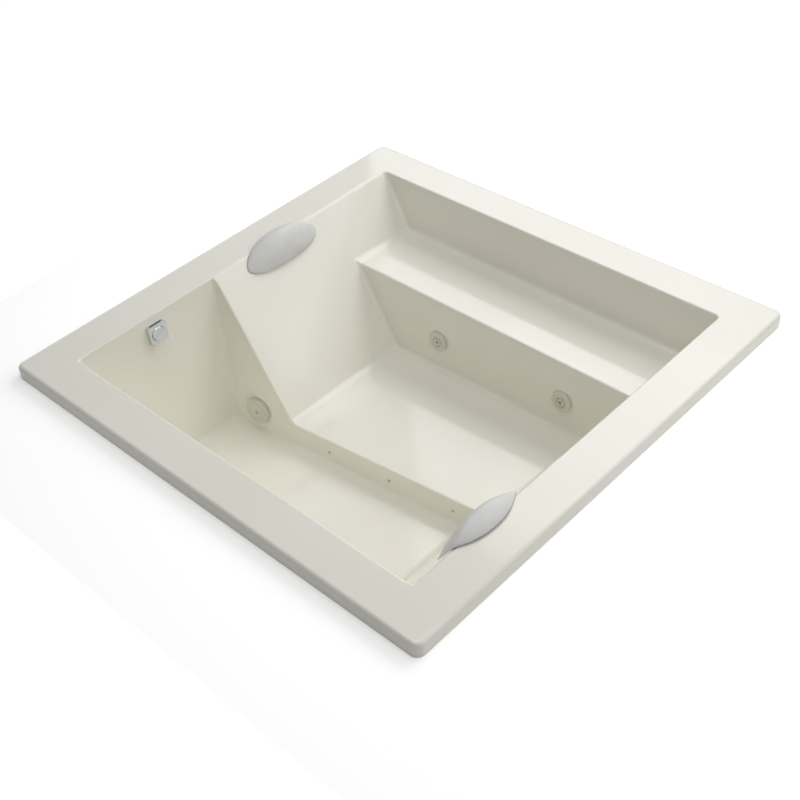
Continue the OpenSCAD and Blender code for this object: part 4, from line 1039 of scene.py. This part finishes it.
def sheet_object(
    name: str, points: np.ndarray, quads: np.ndarray, tile: float
) -> bpy.types.Object:
    """Makes an object of a net, with its flat parts joined into large faces.

    Args:
        name: the object's name.
        points: the net's points in millimetres.
        quads: its quads.
        tile: largest size of a joined face.

    Returns:
        The object.
    """
    mesh = bpy.data.meshes.new(name)
    mesh.from_pydata((points * MM).tolist(), [], quads.tolist())
    cells = np.floor(points[quads].mean(1) / tile).astype(int)
    keys = {}
    for face, polygon in enumerate(mesh.polygons):
        for edge in polygon.edge_keys:
            keys.setdefault(edge, []).append(face)
    seams = [
        len(f) > 1 and bool((cells[f[0]] != cells[f[1]]).any())
        for f in (keys[e.key] for e in mesh.edges)
    ]
    mesh.edges.foreach_set("use_seam", seams)
    work = bmesh.new()
    work.from_mesh(mesh)
    bmesh.ops.dissolve_limit(
        work,
        angle_limit=math.radians(FLAT_TURN),
        use_dissolve_boundaries=False,
        verts=work.verts,
        edges=work.edges,
        delimit={"SEAM"},
    )
    work.to_mesh(mesh)
    work.free()
    mesh.shade_smooth()
    return link(bpy.data.objects.new(name, mesh))


def set_normals(
    mesh: bpy.types.Mesh, normals: Callable[[np.ndarray], np.ndarray], pitch: float
) -> None:
    """Sets the true normals on a mesh: flat on its large faces, and else the surface's own.

    Args:
        mesh: the mesh.
        normals: gives the normals at points in millimetres.
        pitch: size of the net's quads.
    """
    points = np.empty(len(mesh.vertices) * 3)
    mesh.vertices.foreach_get("co", points)
    true = normals(points.reshape(-1, 3) / MM)
    true = true / np.linalg.norm(true, axis=1)[:, None]
    corners = np.empty(len(mesh.loops), np.int64)
    mesh.loops.foreach_get("vertex_index", corners)
    chosen = true[corners]
    for polygon in mesh.polygons:
        ring = [mesh.vertices[k].co for k in polygon.vertices]
        around = sum((a - b).length for a, b in zip(ring, ring[1:] + ring[:1]))
        if 2 * polygon.area > FLAT_SHARE * pitch * MM * around:
            span = slice(polygon.loop_start, polygon.loop_start + polygon.loop_total)
            chosen[span] = polygon.normal
    mesh.normals_split_custom_set(chosen.tolist())


# Cushions


@dataclass
class Cushion:
    """A leaf-shaped head cushion that lies over the rim's edge and down the backrest."""

    name: str
    node: str
    turned: bool
    length: float = 290.0
    width: float = 108.0
    thick: float = 36.0
    y: float = 137.0
    foot_y: float = -378.0
    offset: float = 23.0
    curl: float = 14.0
    gap: float = 0.5
    soft: float = 8.0
    slope: float = 33.5
    edge_x: float = -635.0
    rim_z: float = 572.0
    leaf_bulge: float = 2.3
    leaf_tip: float = 0.66
    tip_share: float = 0.3
    end_crown: float = 0.3
    crown_round: float = 0.9
    tuck_share: float = 1 / 6
    fill: float = 0.8
    rings: int = 90
    sides: int = 96

    def leaf(self, u: float) -> float:
        """Half width at a place along the cushion, as a share of the widest."""
        return max(1 - abs(u) ** self.leaf_bulge, 0) ** self.leaf_tip

    @property
    def bend(self) -> float:
        """Half the turn between the rim and the backrest."""
        return math.radians((90 - self.slope) / 2)

    def point(self, u: float, a: float) -> tuple[float, float, float]:
        """A point of the skin, in the cushion's own frame.

        Args:
            u: place along the cushion, from -1 to 1.
            a: angle round its section.

        Returns:
            The point in millimetres.
        """
        leaf = self.leaf(u)
        v = self.offset + self.curl * u * u + self.width / 2 * leaf * math.cos(a)
        low = self.gap - math.tan(self.bend) * (math.hypot(v, self.soft) - self.soft)
        crown = self.end_crown + (1 - self.end_crown) * (1 - u * u)
        up = abs(math.sin(a))
        rise = self.thick * crown * leaf * up**self.crown_round
        tuck = self.thick * self.tuck_share * leaf
        over_edge = rise - tuck / 2 if math.sin(a) > 0 else -tuck * up
        return v, u * self.length / 2, low + tuck + over_edge

    def build(self, finishes: Finishes) -> bpy.types.Object:
        """Builds the closed, crowned cushion and dresses it.

        Args:
            finishes: the finishes.

        Returns:
            The cushion's object.
        """
        verts, faces = [], []
        whole = math.pi / (self.rings + 2 * self.tip_share)
        spans = [-math.cos((i + self.tip_share) * whole) for i in range(self.rings + 1)]
        for u in spans:
            for j in range(self.sides):
                verts.append(self.point(u, 2 * math.pi * j / self.sides))
        for i in range(self.rings):
            for j in range(self.sides):
                k = (j + 1) % self.sides
                a, b = i * self.sides, (i + 1) * self.sides
                faces.append((a + j, a + k, b + k, b + j))
        faces.append(tuple(range(self.sides - 1, -1, -1)))
        last = self.rings * self.sides
        faces.append(tuple(last + j for j in range(self.sides)))
        edge = Matrix.Translation((self.edge_x, self.y, self.rim_z))
        place = edge @ Matrix.Rotation(self.bend, 4, "Y")
        if self.turned:
            shift = Matrix.Translation((0, self.foot_y + self.y, 0))
            place = shift @ Matrix.Rotation(math.pi, 4, "Z") @ place
        mesh = bpy.data.meshes.new(self.name)
        mesh.from_pydata([(place @ Vector(v)) * MM for v in verts], [], faces)
        mesh.materials.append(finishes.slots["cushion_skin"])
        mesh.shade_smooth()
        cushion = link(bpy.data.objects.new(self.name, mesh))
        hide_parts(self.node)
        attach(cushion, ROOT_BODY)
        log.info("%s: %d faces", cushion.name, len(mesh.polygons))
        return cushion


# Solids that keep their own shape


@dataclass
class Hardware:
    """Pipes, pump, timber and fittings, which keep the solids' shape and take a finish."""

    along_y: tuple[str, ...] = ("rim_batten_drain_end", "rim_batten_foot_end")

    def dress(self, nodes: dict[str, bpy.types.Object], record: dict, finishes: Finishes) -> None:
        """Gives each solid the finish of its slot.

        Args:
            nodes: the solids by name.
            record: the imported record, which names each solid's slot.
            finishes: the finishes.
        """
        for part in record["subparts"]:
            solid = nodes[part["node"]]
            finish = finishes.slots[part["material_slot"]]
            if part["node"] in self.along_y:
                finish = finishes.timber_along_y
            solid.data.materials.clear()
            solid.data.materials.append(finish)
        log.info("%d solids dressed", len(record["subparts"]))


# Studio


@dataclass(frozen=True)
class Lamp:
    """A soft rectangular panel: its place, the point that it faces, its sides and its power."""

    name: str
    place: tuple[float, float, float]
    aim: tuple[float, float, float]
    size: tuple[float, float]
    watts: float


@dataclass
class Studio:
    """Camera, lamps, floor and the deck round the rim. None of it is part of the bath."""

    focal_px: float = 1261.42
    image_px: float = 800.0
    sensor: float = 36.0
    shift_x: float = 0.05
    clip: tuple[float, float] = (0.05, 60.0)
    eye: tuple[float, float, float] = (1951.9, -1958.2, 2763.1)
    right: tuple[float, float, float] = (0.72023, 0.69012, -0.07073)
    down: tuple[float, float, float] = (0.41706, -0.51220, -0.75081)
    ahead: tuple[float, float, float] = (-0.55438, 0.51125, -0.65672)
    floor_size: float = 14000.0
    deck_z: float = 530.0
    deck_inner: float = 754.0
    deck_outer: float = 1110.0
    floor_glow: float = 0.93
    floor_lit: float = 0.3
    deck_glow: float = 0.34
    deck_lit: float = 1.0
    bounce: str = "#F0F0F0"
    room_light: float = 0.19
    lamps: tuple[Lamp, ...] = (
        Lamp("back_panel", (500.0, 2000.0, 2800.0), (500.0, 0.0, 2800.0), (5200.0, 2630.0), 72.0),
        Lamp("high_back_panel", (0.0, 2600.0, 3400.0), (0.0, 0.0, 400.0), (4000.0, 1400.0), 14.0),
        Lamp("top_panel", (0.0, 10.0, 4200.0), (0.0, 0.0, 0.0), (2400.0, 2400.0), 33.0),
        Lamp("side_panel", (2600.0, 0.0, 2400.0), (0.0, 0.0, 400.0), (3000.0, 1600.0), 11.0),
    )

    def camera(self) -> None:
        """Sets the camera at the photograph's viewing angle."""
        data = bpy.data.cameras.new("camera")
        data.sensor_width = self.sensor
        data.lens = self.sensor * self.focal_px / self.image_px
        data.shift_x = self.shift_x
        data.clip_start, data.clip_end = self.clip
        camera = link(bpy.data.objects.new("camera", data))
        axes = (Vector(self.right), -Vector(self.down), -Vector(self.ahead))
        turn = Matrix(axes).transposed()
        camera.matrix_world = Matrix.Translation(Vector(self.eye) * MM) @ turn.to_4x4()
        bpy.context.scene.camera = camera

    def looked_at(self, tree: bpy.types.NodeTree) -> bpy.types.NodeSocket:
        """Adds the choice between what is looked at and what gives light.

        Args:
            tree: the nodes that take it.

        Returns:
            A socket that is 1 where the camera, a mirror or a glass looks, and else 0.
        """
        path = add_node(tree, "ShaderNodeLightPath")
        seen = path.outputs["Is Camera Ray"]
        for ray in ("Is Glossy Ray", "Is Transmission Ray"):
            most = {"operation": "MAXIMUM"}
            more = add_node(tree, "ShaderNodeMath", most, {0: seen, 1: path.outputs[ray]})
            seen = more.outputs["Value"]
        return seen

    def white(self, name: str, level: float, own: float) -> bpy.types.Material:
        """A white ground that takes the bath's shadow and is clear from behind.

        Args:
            name: the material's name.
            level: brightness that the camera sees of itself.
            own: share of the light on it that it throws back to the camera.

        Returns:
            The material.
        """
        material = bpy.data.materials.new(name)
        material.use_nodes = True
        tree = material.node_tree
        tree.nodes.clear()
        seen = self.looked_at(tree)
        plain = add_node(tree, "ShaderNodeBsdfDiffuse", {"Color": linear(self.bounce)})
        lit = add_node(tree, "ShaderNodeBsdfDiffuse", {"Color": (own, own, own, 1)})
        glow = add_node(tree, "ShaderNodeEmission", {"Color": (1, 1, 1, 1), "Strength": level})
        shown = add_node(
            tree, "ShaderNodeAddShader", links={0: lit.outputs["BSDF"], 1: glow.outputs["Emission"]}
        )
        ground = mixed(tree, seen, plain.outputs["BSDF"], shown.outputs["Shader"])
        back = add_node(tree, "ShaderNodeNewGeometry").outputs["Backfacing"]
        clear = add_node(tree, "ShaderNodeBsdfTransparent").outputs["BSDF"]
        faced = mixed(tree, back, ground, clear)
        add_node(tree, "ShaderNodeOutputMaterial", links={"Surface": faced})
        return material

    def ground(self) -> None:
        """Lays the floor, and the deck that the rim hangs in."""
        half = self.floor_size / 2 * MM
        square = [(-half, -half, 0), (half, -half, 0), (half, half, 0), (-half, half, 0)]
        white = self.white("white_floor", self.floor_glow, self.floor_lit)
        self.slab("floor", square, [(0, 1, 2, 3)], white)
        rings = []
        for size in (self.deck_inner, self.deck_outer):
            r, z = size * MM, self.deck_z * MM
            rings += [(-r, -r, z), (r, -r, z), (r, r, z), (-r, r, z)]
        faces = [(k, 4 + k, 4 + (k + 1) % 4, (k + 1) % 4) for k in range(4)]
        self.slab("deck", rings, faces, self.white("white_deck", self.deck_glow, self.deck_lit))

    def slab(
        self, name: str, verts: Iterable, faces: Iterable, material: bpy.types.Material
    ) -> None:
        """Adds one flat piece of the ground.

        Args:
            name: its name.
            verts: its points in metres.
            faces: its faces.
            material: its material.
        """
        mesh = bpy.data.meshes.new(name)
        mesh.from_pydata(list(verts), [], list(faces))
        mesh.materials.append(material)
        link(bpy.data.objects.new(name, mesh))

    def light(self) -> None:
        """Hangs the soft panels, and sets the even light of the room."""
        for lamp in self.lamps:
            data = bpy.data.lights.new(lamp.name, "AREA")
            data.shape = "RECTANGLE"
            data.size, data.size_y = (side * MM for side in lamp.size)
            data.energy = lamp.watts
            panel = link(bpy.data.objects.new(lamp.name, data))
            panel.location = Vector(lamp.place) * MM
            facing = Vector(lamp.aim) - Vector(lamp.place)
            panel.rotation_euler = facing.to_track_quat("-Z", "Z").to_euler()
        world = bpy.data.worlds.new("room")
        bpy.context.scene.world = world
        world.use_nodes = True
        tree = world.node_tree
        tree.nodes.clear()
        seen = self.looked_at(tree)
        light = add_node(
            tree, "ShaderNodeBackground", {"Color": (1, 1, 1, 1), "Strength": self.room_light}
        )
        shown = add_node(tree, "ShaderNodeBackground", {"Color": (1, 1, 1, 1), "Strength": 1.0})
        room = mixed(tree, seen, light.outputs["Background"], shown.outputs["Background"])
        add_node(tree, "ShaderNodeOutputWorld", links={"Surface": room})

    def build(self) -> None:
        """Sets up the whole studio."""
        bpy.context.scene.view_settings.view_transform = "Standard"
        self.camera()
        self.ground()
        self.light()
        log.info("studio: floor, deck and %d panels", len(self.lamps))


def main() -> None:
    """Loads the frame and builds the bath's looks."""
    logging.basicConfig(level=logging.INFO, format="%(name)s: %(message)s")
    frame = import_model()
    finishes = Finishes()
    Studio().build()
    Shell().build(frame["nodes"], finishes)
    Cushion("cushion_head", "pillow_head", False).build(finishes)
    Cushion("cushion_foot", "pillow_foot", True).build(finishes)
    Hardware().dress(frame["nodes"], frame["record"], finishes)


if __name__ == "__main__":
    main()
